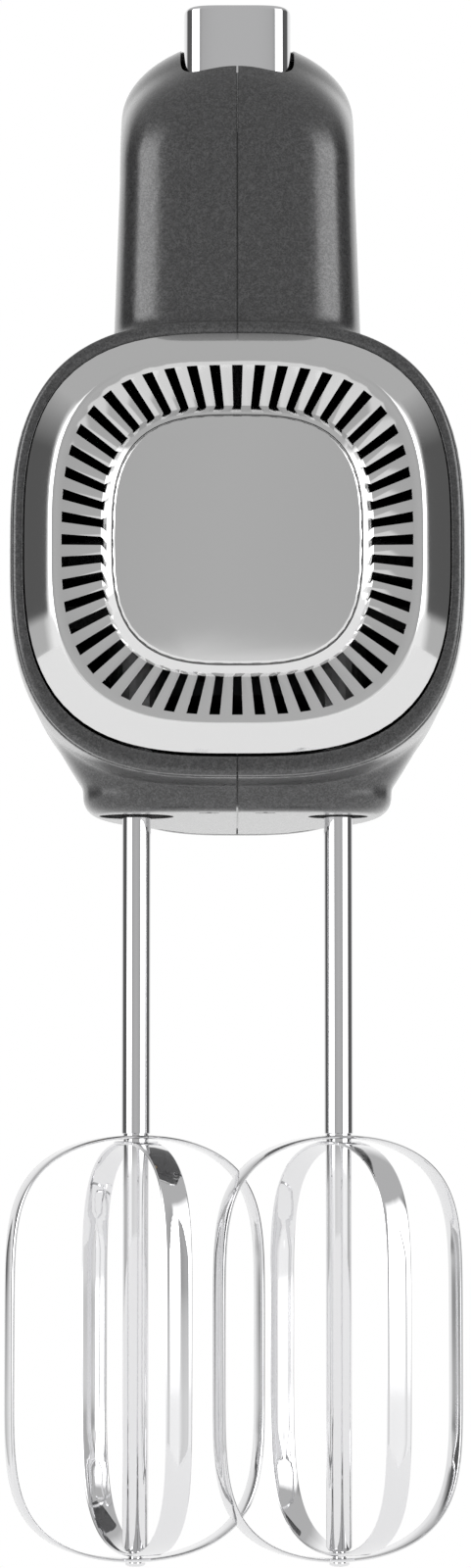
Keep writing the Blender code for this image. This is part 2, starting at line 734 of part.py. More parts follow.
def make_rear_cap():
    """A cup that closes the barrel. Its flat end is the heel that the mixer stands on."""
    start = BARREL_END + GAP
    outside = [barrel_ring(start, 0.0), barrel_ring(HEEL - CAP_EDGE, 0.0)]
    inside = [barrel_ring(start, WALL)]
    for angle in spread(0.0, math.pi / 2, 4)[1:]:
        y = HEEL - CAP_EDGE * (1 - math.sin(angle))
        outside.append(barrel_ring(y, CAP_EDGE * (1 - math.cos(angle))))
    for angle in spread(0.0, math.pi / 2, 3):
        radius = CAP_EDGE - WALL
        y = HEEL - WALL - radius * (1 - math.sin(angle))
        inside.append(barrel_ring(y, WALL + radius * (1 - math.cos(angle))))
    bm = bmesh.new()
    outer_rows = [[bm.verts.new(p) for p in ring] for ring in outside]
    inner_rows = [[bm.verts.new(p) for p in ring] for ring in inside]
    rows = outer_rows[::-1] + inner_rows
    for low, high in zip(rows, rows[1:]):
        for i in range(BARREL_POINTS):
            j = (i + 1) % BARREL_POINTS
            bm.faces.new((low[i], low[j], high[j], high[i]))
    bm.faces.new(rows[0])
    bm.faces.new(rows[-1])
    place("rear_cap", finished(bm, "rear_cap"), PAINTED)


def make_screws():
    for number, (y, height, head) in enumerate(SCREWS, 1):
        tip = head - SCREW_LENGTH
        rings = []
        for radius, x in (
            (SCREW_RADIUS * 0.5, tip),
            (SCREW_RADIUS, tip + SCREW_RADIUS),
            (SCREW_RADIUS, head + GAP),
            (SCREW_HEAD_RADIUS, head + GAP),
            (SCREW_HEAD_RADIUS * 0.8, head + GAP + SCREW_HEAD_THICKNESS),
        ):
            rings.append([Vector((x, u, v)) for u, v in circle(radius, 12)])
        name = f"housing_screw_{number}"
        place(name, lofted(name, rings), STEEL, (0.0, y, height))


# ---------------------------------------------------------------- grille


def evenly(half_x, half_z, power, shares):
    """Points of a squircle at shares of its length, counted from the top."""
    dense = squircle(half_x, half_z, power, 1440)
    lengths = [0.0]
    for i in range(len(dense)):
        a, b = dense[i], dense[(i + 1) % len(dense)]
        lengths.append(lengths[-1] + math.hypot(b[0] - a[0], b[1] - a[1]))
    points = []
    index = 0
    for share in sorted(s % 1.0 for s in shares):
        wanted = share * lengths[-1]
        while lengths[index + 1] < wanted:
            index += 1
        part = (wanted - lengths[index]) / (lengths[index + 1] - lengths[index])
        a, b = dense[index % len(dense)], dense[(index + 1) % len(dense)]
        points.append((a[0] + (b[0] - a[0]) * part, a[1] + (b[1] - a[1]) * part))
    return points


def make_grille():
    """One ring with a sloping bezel, a dished ring of slots and a floor under the centre plate."""
    shares = []
    for slot in range(SLOT_COUNT):
        shares += [(slot - SLOT_SHARE / 2) / SLOT_COUNT, (slot + SLOT_SHARE / 2) / SLOT_COUNT]

    def ring(half_x, half_z, y):
        return along_y(evenly(half_x, half_z, GRILLE_POWER, shares), y, GRILLE_CENTRE)

    inner_y = GRILLE_FRONT + DISH
    floor_y = GRILLE_FRONT + DISH * FLOOR_SHARE
    seat_half = PLATE_HALF + GAP
    front = [
        ring(GRILLE_HALF_X, GRILLE_HALF_Z, GRILLE_BACK),
        ring(GRILLE_HALF_X, GRILLE_HALF_Z, GRILLE_EDGE),
        ring(RIDGE_HALF, RIDGE_HALF, GRILLE_FRONT),
        ring(SLOT_OUTER_HALF, SLOT_OUTER_HALF, GRILLE_FRONT + 0.0002),
        ring(SLOT_INNER_HALF, SLOT_INNER_HALF, inner_y),
        ring(seat_half, seat_half, GRILLE_FRONT + PLATE_SEAT_STEP),
        ring(seat_half, seat_half, floor_y),
    ]
    w = GRILLE_WALL
    back = [
        ring(GRILLE_HALF_X - w, GRILLE_HALF_Z - w, GRILLE_BACK),
        ring(GRILLE_HALF_X - w, GRILLE_HALF_Z - w, GRILLE_EDGE + 0.0008),
        ring(RIDGE_HALF - w, RIDGE_HALF - w, GRILLE_FRONT + w),
        ring(SLOT_OUTER_HALF, SLOT_OUTER_HALF, GRILLE_FRONT + 0.0002 + w),
        ring(SLOT_INNER_HALF, SLOT_INNER_HALF, inner_y + w),
    ]
    bm = bmesh.new()
    front = [[bm.verts.new(p) for p in row] for row in front]
    back = [[bm.verts.new(p) for p in row] for row in back]
    count = len(shares)
    # The points start with the right edge of the top slot, so odd spans are slots.
    slots = {i for i in range(count) if i % 2 == 1}
    for rows in (front, back):
        for k, (low, high) in enumerate(zip(rows, rows[1:])):
            for i in range(count):
                if k == 3 and i in slots:
                    continue
                j = (i + 1) % count
                bm.faces.new((low[i], low[j], high[j], high[i]))
    for i in range(count):
        j = (i + 1) % count
        bm.faces.new((front[0][i], front[0][j], back[0][j], back[0][i]))
        if i not in slots:
            continue
        for k in (3, 4):
            bm.faces.new((front[k][i], front[k][j], back[k][j], back[k][i]))
        for m in (i, j):
            bm.faces.new((front[3][m], front[4][m], back[4][m], back[3][m]))
    bm.faces.new(front[-1])
    bm.faces.new(back[-1])
    place("grille_bezel", finished(bm, "grille_bezel"), SATIN)

    outline = squircle(PLATE_HALF, PLATE_HALF, GRILLE_POWER, 48)
    trimmed = squircle(PLATE_HALF - PLATE_EDGE, PLATE_HALF - PLATE_EDGE, GRILLE_POWER, 48)
    rings = [
        along_y(trimmed, GRILLE_FRONT, GRILLE_CENTRE),
        along_y(outline, GRILLE_FRONT + PLATE_EDGE, GRILLE_CENTRE),
        along_y(outline, floor_y - GAP, GRILLE_CENTRE),
    ]
    place("grille_centre_plate", lofted("grille_centre_plate", rings), SATIN)


# ---------------------------------------------------------------- eject linkage


def make_ejector():
    """The button, the yoke that it pushes down, the spring under it and the two eject pins."""
    rings = []
    for height, extra in (
        (BUTTON_BASE, BUTTON_FLANGE),
        (BUTTON_BASE + FLANGE_THICKNESS, BUTTON_FLANGE),
        (BUTTON_BASE + FLANGE_THICKNESS, 0.0),
        (BUTTON_TOP - BUTTON_EDGE, 0.0),
        (BUTTON_TOP - BUTTON_EDGE * 0.3, -BUTTON_EDGE * 0.3),
        (BUTTON_TOP, -BUTTON_EDGE),
    ):
        rings.append(along_z(button_outline(extra), height, 0.0, BUTTON_Y))
    place("eject_button", lofted("eject_button", rings), SATIN)

    stem = block(
        "stem",
        (-STEM_HALF_X, BUTTON_Y - STEM_HALF_Y, YOKE_TOP - YOKE_THICKNESS),
        (STEM_HALF_X, BUTTON_Y + STEM_HALF_Y, BUTTON_BASE - GAP),
    )
    reach = SPACING_HALF + PIN_HEAD_RADIUS
    bridge = block(
        "bridge",
        (-reach, BUTTON_Y - STEM_HALF_Y - 0.0005, YOKE_TOP - YOKE_THICKNESS - 0.0002),
        (reach, PIN_HEAD_RADIUS, YOKE_TOP),
    )
    place("eject_yoke", carved("eject_yoke", bridge, [("UNION", stem)]), NYLON)

    wire = []
    low = SPRING_SEAT_TOP + GAP + SPRING_WIRE
    high = BUTTON_BASE - GAP - SPRING_WIRE
    steps = SPRING_TURNS * 8
    for i in range(steps + 1):
        share = i / steps
        angle = math.tau * SPRING_TURNS * share
        centre = Vector((math.cos(angle), math.sin(angle), 0.0)) * SPRING_RADIUS
        centre += Vector((0.0, BUTTON_Y, low + (high - low) * share))
        out = Vector((math.cos(angle), math.sin(angle), 0.0))
        up = Vector((0.0, 0.0, 1.0))
        wire.append([centre + out * u + up * v for u, v in circle(SPRING_WIRE, 6)])
    place("eject_spring", lofted("eject_spring", wire), STEEL)

    head_low = YOKE_TOP - YOKE_THICKNESS - 0.0002 - GAP - PIN_HEAD_THICKNESS
    for side, x in (("left", -SPACING_HALF), ("right", SPACING_HALF)):
        profile = [
            (SHAFT_NECK_RADIUS, SHAFT_TOP + GAP),
            (SHAFT_NECK_RADIUS, head_low),
            (PIN_HEAD_RADIUS, head_low),
            (PIN_HEAD_RADIUS, head_low + PIN_HEAD_THICKNESS),
        ]
        name = f"eject_pin_{side}"
        place(name, turned(name, profile, along_z, 16), STEEL, (x, 0.0, 0.0))


# ---------------------------------------------------------------- gears and spindles

WORM_LEAD = math.pi * MODULE * WORM_STARTS
GEAR_PITCH_RADIUS = MODULE * GEAR_TEETH / 2
WORM_PITCH_RADIUS = SPACING_HALF - GEAR_PITCH_RADIUS
GEAR_TWIST = WORM_LEAD / math.tau / WORM_PITCH_RADIUS / GEAR_PITCH_RADIUS


def gear_outline(turn):
    """Points (x, y) of the toothed edge, four to a tooth, one centred on +X at turn 0."""
    points = []
    tip = GEAR_PITCH_RADIUS + ADDENDUM
    root = GEAR_PITCH_RADIUS - DEDENDUM
    pitch = math.tau / GEAR_TEETH
    for tooth in range(GEAR_TEETH):
        middle = turn + tooth * pitch
        for radius, share in (
            (root, -TOOTH_SHARE * GEAR_ROOT_SHARE),
            (tip, -TOOTH_SHARE * GEAR_TIP_SHARE),
            (tip, TOOTH_SHARE * GEAR_TIP_SHARE),
            (root, TOOTH_SHARE * GEAR_ROOT_SHARE),
        ):
            angle = middle + share * pitch
            points.append((radius * math.cos(angle), radius * math.sin(angle)))
    return points


def make_gear(name, x, turn):
    count = 4 * GEAR_TEETH
    levels = [-GEAR_WIDTH / 2, GEAR_WIDTH / 2]
    bore_radius = SPINDLE_RADIUS + GAP
    bore = []
    for i in range(count):
        angle = turn + math.tau * i / count
        bore.append((bore_radius * math.cos(angle), bore_radius * math.sin(angle)))
    rings = [along_z(gear_outline(turn + GEAR_TWIST * level), level) for level in levels]
    rings += [along_z(bore, level) for level in reversed(levels)]
    place(name, lofted(name, rings, closed=True), NYLON, (x, 0.0, MOTOR_AXIS))


def worm_outline(turn):
    """Points (x, z) of the worm's section, eight to a thread, one pointing along +X at turn 0."""
    root = WORM_PITCH_RADIUS - DEDENDUM
    tip = WORM_PITCH_RADIUS + ADDENDUM
    pitch = math.tau / WORM_STARTS
    points = []
    for start in range(WORM_STARTS):
        middle = math.pi / 2 + turn + start * pitch
        outer_tip, inner_tip = WORM_TIP_SHARES
        for radius, share in (
            (root, -WORM_ROOT_END),
            (root, -TOOTH_SHARE * GEAR_ROOT_SHARE),
            (tip, -TOOTH_SHARE * outer_tip),
            (tip, -TOOTH_SHARE * inner_tip),
            (tip, TOOTH_SHARE * inner_tip),
            (tip, TOOTH_SHARE * outer_tip),
            (root, TOOTH_SHARE * GEAR_ROOT_SHARE),
            (root, WORM_ROOT_END),
        ):
            angle = middle + share * pitch
            points.append((radius * math.sin(angle), radius * math.cos(angle)))
    return points


def make_rotor():
    """The motor's shaft, which is cut as a worm at its front, and what is pressed onto it."""
    count = 8 * WORM_STARTS
    first_turn = math.pi / 2 - WORM_ROOT_END * math.tau / WORM_STARTS
    half = WORM_LENGTH / 2

    def round_at(radius, y):
        return along_y(circle(radius, count, first_turn), y)

    rings = [
        round_at(MOTOR_SHAFT_RADIUS - 0.0005, ROTOR_FRONT),
        round_at(MOTOR_SHAFT_RADIUS, ROTOR_FRONT + 0.0005),
        round_at(MOTOR_SHAFT_RADIUS, -half - 0.0010),
    ]
    for y in spread(-half, half, 36):
        rings.append(along_y(worm_outline(math.tau * y / WORM_LEAD), y))
    rings += [
        round_at(MOTOR_SHAFT_RADIUS, half + 0.0010),
        round_at(MOTOR_SHAFT_RADIUS, ROTOR_REAR - 0.0005),
        round_at(MOTOR_SHAFT_RADIUS - 0.0005, ROTOR_REAR),
    ]
    axis = (0.0, 0.0, MOTOR_AXIS)
    place("motor_shaft", lofted("motor_shaft", rings), STEEL, axis)

    bore = MOTOR_SHAFT_RADIUS + GAP

    def star(name, outline, low, high, material):
        hole = circle(bore, len(outline))
        rings = [
            along_y(hole, low),
            along_y(outline, low),
            along_y(outline, high),
            along_y(hole, high),
        ]
        place(name, lofted(name, rings, closed=True), material, axis)

    blades = []
    pitch = math.tau / FAN_BLADES
    for blade in range(FAN_BLADES):
        for radius, share in ((FAN_HUB, -0.20), (FAN_RADIUS, -0.07), (FAN_RADIUS, 0.03), (FAN_HUB, 0.06)):
            angle = (blade + share) * pitch
            blades.append((radius * math.sin(angle), radius * math.cos(angle)))
    star("cooling_fan", blades, FAN_Y - FAN_WIDTH / 2, FAN_Y + FAN_WIDTH / 2, BLACK)

    teeth = []
    pitch = math.tau / ARMATURE_SLOTS
    neck = ARMATURE_RADIUS * 0.62
    for tooth in range(ARMATURE_SLOTS):
        for radius, share in (
            (neck, -0.18),
            (ARMATURE_RADIUS, -0.40),
            (ARMATURE_RADIUS, 0.40),
            (neck, 0.18),
        ):
            angle = (tooth + share) * pitch
            teeth.append((radius * math.sin(angle), radius * math.cos(angle)))
    star("armature_core", teeth, STACK_LOW_Y, STACK_HIGH_Y, IRON)

    bars = []
    for bar in range(ARMATURE_SLOTS):
        for radius, share in (
            (COMMUTATOR_RADIUS - 0.0008, -0.46),
            (COMMUTATOR_RADIUS, -0.44),
            (COMMUTATOR_RADIUS, 0.44),
            (COMMUTATOR_RADIUS - 0.0008, 0.46),
        ):
            angle = (bar + share) * pitch
            bars.append((radius * math.sin(angle), radius * math.cos(angle)))
    low = COMMUTATOR_Y - COMMUTATOR_WIDTH / 2
    star("commutator", bars, low, low + COMMUTATOR_WIDTH, COPPER)


def make_spindle(side, x, turn):
    """A hollow spindle with a hexagonal mouth, its two bushes and the circlip that holds it up."""
    outer = [along_z(circle(SPINDLE_RADIUS, 24), h) for h in (SPINDLE_BASE, SPINDLE_TOP)]
    bore = [
        along_z(circle(SPINDLE_BORE, 24), h)
        for h in (SPINDLE_BASE - 0.001, SPINDLE_TOP + 0.001)
    ]
    hexagon = [
        along_z(circle(HEX_RADIUS + GAP * 1.2, 6, turn), h)
        for h in (SPINDLE_BASE - 0.001, HEX_TOP + 0.002)
    ]
    name = f"spindle_{side}"
    cuts = [("DIFFERENCE", lofted("bore", bore)), ("DIFFERENCE", lofted("hexagon", hexagon))]
    place(name, carved(name, lofted(name, outer), cuts), STEEL, (x, 0.0, 0.0))

    inner = SPINDLE_RADIUS + GAP
    for kind, outer_radius, low, high in (
        ("spindle", BUSH_RADIUS, CARRIER_LOW, CARRIER_HIGH),
        ("socket", SOCKET_BUSH_RADIUS, SOCKET_BUSH_LOW, SOCKET_BUSH_HIGH),
    ):
        name = f"{kind}_bush_{side}"
        profile = ring_profile(inner, outer_radius, low, high)
        place(name, turned(name, profile, along_z, 24, closed=True), BRONZE, (x, 0.0, 0.0))

    rim = []
    for radius, angles in (
        (SPINDLE_RADIUS + CIRCLIP_RIM, spread(CIRCLIP_OPENING, math.tau - CIRCLIP_OPENING, 18)),
        (inner, spread(math.tau - CIRCLIP_OPENING, CIRCLIP_OPENING, 18)),
    ):
        rim += [(radius * math.sin(a), radius * math.cos(a)) for a in angles]
    name = f"circlip_{side}"
    top = CARRIER_LOW - GAP
    rings = [along_z(rim, top - CIRCLIP_THICKNESS), along_z(rim, top)]
    place(name, lofted(name, rings), STEEL, (x, 0.0, 0.0))


def make_carrier():
    """A plate that holds the spindle bushes, with two uprights that hold the worm's bearings."""
    steps = []
    top = MOTOR_AXIS + BEARING_RADIUS + BEARING_WALL
    for y in (-BEARING_OFFSET, BEARING_OFFSET):
        upright = block(
            "upright",
            (-UPRIGHT_HALF_X, y - UPRIGHT_HALF_Y, CARRIER_HIGH - 0.001),
            (UPRIGHT_HALF_X, y + UPRIGHT_HALF_Y, top),
        )
        steps.append(("UNION", upright))
        bore = turned(
            "bore",
            [(BEARING_RADIUS + GAP, y - 0.004), (BEARING_RADIUS + GAP, y + 0.004)],
            lambda outline, d: along_y(outline, d, MOTOR_AXIS),
        )
        steps.append(("DIFFERENCE", bore))
    for x in (-SPACING_HALF, SPACING_HALF):
        hole = [
            along_z(circle(BUSH_RADIUS + GAP, 28), h, x)
            for h in (CARRIER_LOW - 0.001, CARRIER_HIGH + 0.001)
        ]
        steps.append(("DIFFERENCE", lofted("hole", hole)))
    plate = [
        along_z(squircle(CARRIER_HALF_X, CARRIER_HALF_Y, 5.0, 32), h)
        for h in (CARRIER_LOW, CARRIER_HIGH)
    ]
    place("gear_carrier", carved("gear_carrier", lofted("plate", plate), steps), BLACK)

    for name, y in (
        ("front_bearing", -BEARING_OFFSET),
        ("middle_bearing", BEARING_OFFSET),
        ("rear_bearing", REAR_BEARING_Y),
    ):
        half = BEARING_WIDTH / 2
        profile = ring_profile(MOTOR_SHAFT_RADIUS + GAP, BEARING_RADIUS, y - half, y + half)
        place(name, turned(name, profile, along_y, 24, closed=True), BRONZE, (0.0, 0.0, MOTOR_AXIS))


# ---------------------------------------------------------------- motor's fixed pieces


def make_stator():
    """The iron stack with its two poles, and the coil round each pole."""
    low, high = STACK_LOW_Y, STACK_HIGH_Y
    pole_radius = ARMATURE_RADIUS + AIR_GAP
    window_x = STACK_HALF_X - STACK_FRAME
    window_z = STACK_HALF_Z - STACK_FRAME

    def box(name, x0, x1, z_half, extra=0.0):
        return block(
            name,
            (x0, low - extra, MOTOR_AXIS - z_half),
            (x1, high + extra, MOTOR_AXIS + z_half),
        )

    steps = [("DIFFERENCE", box("window", -window_x, window_x, window_z, 0.001))]
    for side in (-1, 1):
        inner, outer = side * (pole_radius - 0.004), side * (window_x + 0.001)
        steps.append(("UNION", box("neck", min(inner, outer), max(inner, outer), POLE_NECK_HALF)))
        shoe = side * (pole_radius + POLE_SHOE_THICKNESS)
        steps.append(("UNION", box("shoe", min(inner, shoe), max(inner, shoe), POLE_SHOE_HALF)))
    bore = turned(
        "bore",
        [(pole_radius, low - 0.002), (pole_radius, high + 0.002)],
        lambda outline, d: along_y(outline, d, MOTOR_AXIS),
        32,
    )
    steps.append(("DIFFERENCE", bore))
    whole = carved("field_stack", box("yoke", -STACK_HALF_X, STACK_HALF_X, STACK_HALF_Z), steps)
    place("field_stack", whole, IRON)

    for name, side in (("field_coil_left", -1), ("field_coil_right", 1)):
        x0, x1 = sorted((side * (pole_radius + POLE_SHOE_THICKNESS + GAP), side * (window_x - GAP)))
        half = POLE_NECK_HALF + GAP
        wide = block(
            name,
            (x0, low - GAP - COIL_TURN, MOTOR_AXIS - half - COIL_TURN),
            (x1, high + GAP + COIL_TURN, MOTOR_AXIS + half + COIL_TURN),
        )
        hole = block(
            "hole",
            (x0 - 0.001, low - GAP, MOTOR_AXIS - half),
            (x1 + 0.001, high + GAP, MOTOR_AXIS + half),
        )
        place(name, carved(name, wide, [("DIFFERENCE", hole)]), COPPER)


def make_brushes():
    """The two brushes in their holders, and the bracket that holds the motor's rear bearing."""
    start = COMMUTATOR_RADIUS + GAP
    for name, side in (("left", -1), ("right", 1)):
        x0, x1 = sorted((side * start, side * (start + BRUSH_LENGTH)))
        brush = block(
            "brush",
            (x0, COMMUTATOR_Y - BRUSH_HALF_Y, MOTOR_AXIS - BRUSH_HALF_Z),
            (x1, COMMUTATOR_Y + BRUSH_HALF_Y, MOTOR_AXIS + BRUSH_HALF_Z),
        )
        place(f"brush_{name}", brush, CARBON)
        holder_end = start + BRUSH_LENGTH + BRUSH_HOLDER_EXTRA
        x0, x1 = sorted((side * (start + 0.002), side * holder_end))
        y_half, z_half = BRUSH_HALF_Y + GAP, BRUSH_HALF_Z + GAP
        wall = BRUSH_HOLDER_WALL
        outer = block(
            "holder",
            (x0, COMMUTATOR_Y - y_half - wall, MOTOR_AXIS - z_half - wall),
            (x1, COMMUTATOR_Y + y_half + wall, MOTOR_AXIS + z_half + wall),
        )
        channel = block(
            "channel",
            (x0 - 0.001, COMMUTATOR_Y - y_half, MOTOR_AXIS - z_half),
            (x1 + 0.001, COMMUTATOR_Y + y_half, MOTOR_AXIS + z_half),
        )
        holder = carved("brush_holder", outer, [("DIFFERENCE", channel)])
        place(f"brush_holder_{name}", holder, BRONZE)

    reach = barrel_half(REAR_BEARING_Y) - WALL - 4 * GAP
    half = BEARING_WIDTH / 2
    bar = block(
        "bar",
        (-reach, REAR_BEARING_Y - half, MOTOR_AXIS - BEARING_RADIUS - BEARING_WALL),
        (reach, REAR_BEARING_Y + half, MOTOR_AXIS + BEARING_RADIUS + BEARING_WALL),
    )
    ends = (REAR_BEARING_Y - BEARING_WIDTH, REAR_BEARING_Y + BEARING_WIDTH)
    bore = turned(
        "bore",
        [(BEARING_RADIUS + GAP, y) for y in ends],
        lambda outline, d: along_y(outline, d, MOTOR_AXIS),
    )
    place("motor_bracket", carved("motor_bracket", bar, [("DIFFERENCE", bore)]), BLACK)


# ---------------------------------------------------------------- speed control and wiring


def make_controls():
    """The speed slider with its switch, the board, the terminal block and the cord's inlet."""
    neck_low = HANDLE_TOP - SLIDER_NECK_DEPTH
    base_low = neck_low - SLIDER_BASE_THICKNESS
    neck = block(
        "neck",
        (-SLIDER_NECK_HALF, SLIDER_FRONT, neck_low),
        (SLIDER_NECK_HALF, SLIDER_FRONT + SLIDER_LENGTH, HANDLE_TOP + 0.0010),
    )
    base = block(
        "base",
        (-SLIDER_CAP_HALF, SLIDER_FRONT - 0.001, base_low),
        (SLIDER_CAP_HALF, SLIDER_FRONT + SLIDER_LENGTH + 0.001, neck_low + 0.0004),
    )
    middle = SLIDER_FRONT + SLIDER_LENGTH / 2
    rings = []
    for height, inset in ((GAP, 0.0), (SLIDER_CAP_HEIGHT * 0.7, 0.0), (SLIDER_CAP_HEIGHT, 0.0012)):
        outline = squircle(SLIDER_CAP_HALF - inset, SLIDER_LENGTH / 2 + 0.0005 - inset, 4.0, 24)
        rings.append(along_z(outline, HANDLE_TOP + height, 0.0, middle))
    steps = [("UNION", base), ("UNION", lofted("cap", rings))]
    place("speed_slider", carved("speed_slider", neck, steps), SATIN)

    switch = block(
        "speed_switch",
        (-SWITCH_HALF, SLIDER_FRONT - 0.003, GRIP_UNDER + WALL + 0.0050),
        (SWITCH_HALF, SLOT_END + 0.003, base_low - GAP),
    )
    place("speed_switch", switch, BLACK)
    board = block(
        "control_board",
        (-BOARD_HALF, BOARD_Y, BOARD_LOW),
        (BOARD_HALF, BOARD_Y + BOARD_THICKNESS, BOARD_HIGH),
    )
    place("control_board", board, BOARD)
    terminal = block(
        "terminal_block",
        (-TERMINAL_HALF, TERMINAL_FRONT, TERMINAL_LOW),
        (TERMINAL_HALF, TERMINAL_REAR, TERMINAL_HIGH),
    )
    place("terminal_block", terminal, NYLON)

    profile = [
        (INLET_HOLE, HANDLE_REAR - INLET_DEPTH),
        (INLET_RADIUS, HANDLE_REAR - INLET_DEPTH),
        (INLET_RADIUS, HANDLE_REAR + 2 * GAP),
        (INLET_FLANGE, HANDLE_REAR + 2 * GAP),
        (INLET_FLANGE - 0.0006, HANDLE_REAR + INLET_STAND),
        (INLET_HOLE, HANDLE_REAR + INLET_STAND),
    ]
    inlet = turned("cord_inlet", profile, along_y, 24, closed=True)
    place("cord_inlet", inlet, BLACK, (0.0, 0.0, INLET_HEIGHT))


# ---------------------------------------------------------------- beaters


def strip_ring(radius, height, slope, width):
    """The strip's rectangular section where its path passes (radius, height) in the plane of X."""
    along = Vector((slope[0], 0.0, slope[1])).normalized()
    side = Vector((0.0, 1.0, 0.0))
    out = along.cross(side)
    spot = Vector((radius, 0.0, height))
    half = STRIP_THICKNESS / 2
    return [
        spot + side * width / 2 + out * half,
        spot + side * width / 2 - out * half,
        spot - side * width / 2 - out * half,
        spot - side * width / 2 + out * half,
    ]


def cage_loop(name, shrink):
    """One closed loop of flat strip in the plane of X, with holes for the shaft and the rivet."""
    top, bottom = CAGE_TOP - shrink, CAGE_BOTTOM + shrink
    middle, reach = (top + bottom) / 2, (top - bottom) / 2
    path = []
    for i in range(CAGE_STEPS):
        angle = math.tau * i / CAGE_STEPS
        path.append(
            (
                CAGE_RADIUS * signed_power(math.sin(angle), 2 / CAGE_SIDE_POWER),
                middle + reach * signed_power(math.cos(angle), 2 / CAGE_END_POWER),
            )
        )
    rings = []
    for i, (radius, height) in enumerate(path):
        before, after = path[i - 1], path[(i + 1) % len(path)]
        slope = (after[0] - before[0], after[1] - before[1])
        eye = abs(radius) < STRIP_EYE_WIDTH / 2 and height > middle
        rings.append(strip_ring(radius, height, slope, STRIP_EYE_WIDTH if eye else STRIP_WIDTH))
    hole = [along_z(circle(SHAFT_NECK_RADIUS + GAP, 20), h) for h in (top - 0.004, top + 0.004)]
    rivet = [along_z(circle(RIVET_RADIUS + GAP, 16), h) for h in (bottom - 0.004, bottom + 0.004)]
    cuts = [("DIFFERENCE", lofted("hole", hole)), ("DIFFERENCE", lofted("rivet", rivet))]
    return carved(name, lofted(name, rings, closed=True), cuts)


def make_beater(side, x, angle):
    turn = Matrix.Rotation(angle, 4, "Z")
    stack = STRIP_THICKNESS + 2 * GAP
    for name, quarter, inset in (("wide_loop", 0.0, 0.0), ("cross_loop", math.pi / 2, stack)):
        mesh = cage_loop(f"beater_{name}_{side}", inset)
        mesh.transform(turn @ Matrix.Rotation(quarter, 4, "Z"))
        place(f"beater_{name}_{side}", mesh, STEEL, (x, 0.0, 0.0))
    under = CAGE_BOTTOM + stack + STRIP_THICKNESS / 2 + GAP
    above = CAGE_TOP + STRIP_THICKNESS / 2 + GAP
    profile = [
        (RIVET_RADIUS * 1.6, CAGE_BOTTOM - STRIP_THICKNESS / 2 - GAP - 0.0008),
        (RIVET_RADIUS * 1.6, CAGE_BOTTOM - STRIP_THICKNESS / 2 - GAP),
        (RIVET_RADIUS, CAGE_BOTTOM - STRIP_THICKNESS / 2 - GAP),
        (RIVET_RADIUS, under),
        (SHAFT_NECK_RADIUS, under),
        (SHAFT_NECK_RADIUS, above),
        (SHAFT_RADIUS, above),
        (SHAFT_RADIUS, HEX_BASE - 0.001),
        (HEX_NECK_RADIUS, HEX_BASE - 0.001),
        (HEX_NECK_RADIUS, HEX_TOP),
        (SHAFT_RADIUS, HEX_TOP + 0.001),
        (SHAFT_RADIUS, SHAFT_TOP - 0.0015),
        (SHAFT_RADIUS - 0.0012, SHAFT_TOP),
    ]
    name = f"beater_shaft_{side}"
    place(name, turned(name, profile, along_z, 16), STEEL, (x, 0.0, 0.0))
    rings = []
    hole = (HEX_NECK_RADIUS + GAP) / math.cos(math.pi / 6)
    for outline, height in (
        (circle(hole, 6, angle), HEX_BASE),
        (circle(HEX_RADIUS, 6, angle), HEX_BASE),
        (circle(HEX_RADIUS, 6, angle), HEX_TOP - 0.0004),
        (circle(hole, 6, angle), HEX_TOP - 0.0004),
    ):
        rings.append(along_z(outline, height))
    name = f"drive_collar_{side}"
    place(name, lofted(name, rings, closed=True), NYLON, (x, 0.0, 0.0))


make_housing()
make_rear_cap()
make_screws()
make_grille()
make_ejector()
make_rotor()
make_carrier()
make_stator()
make_brushes()
make_controls()
for side, x, angle in (("left", -SPACING_HALF, LEFT_ANGLE), ("right", SPACING_HALF, RIGHT_ANGLE)):
    make_spindle(side, x, angle)
    make_beater(side, x, angle)
# A worm with an even number of threads shows a thread to both gears at once, so both show it a gap.
half_tooth = math.pi / GEAR_TEETH
make_gear("gear_left", -SPACING_HALF, 0.0 if WORM_STARTS % 2 else half_tooth)
make_gear("gear_right", SPACING_HALF, math.pi + half_tooth)
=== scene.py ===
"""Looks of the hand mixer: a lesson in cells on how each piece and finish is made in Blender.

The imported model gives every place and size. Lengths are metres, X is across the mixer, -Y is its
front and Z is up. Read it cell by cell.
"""

# %% [markdown]
# ## The frame
# A hand mixer is a loop handle on a barrel, with a motor inside and two wire beaters below.
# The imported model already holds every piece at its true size, so it is loaded first and never
# moved. New pieces are built round it, and each one rides on the body that it belongs to.

# %% Load the frame
import math
import json

import bmesh
import bpy
from mathutils import Matrix, Vector
from mathutils.bvhtree import BVHTree


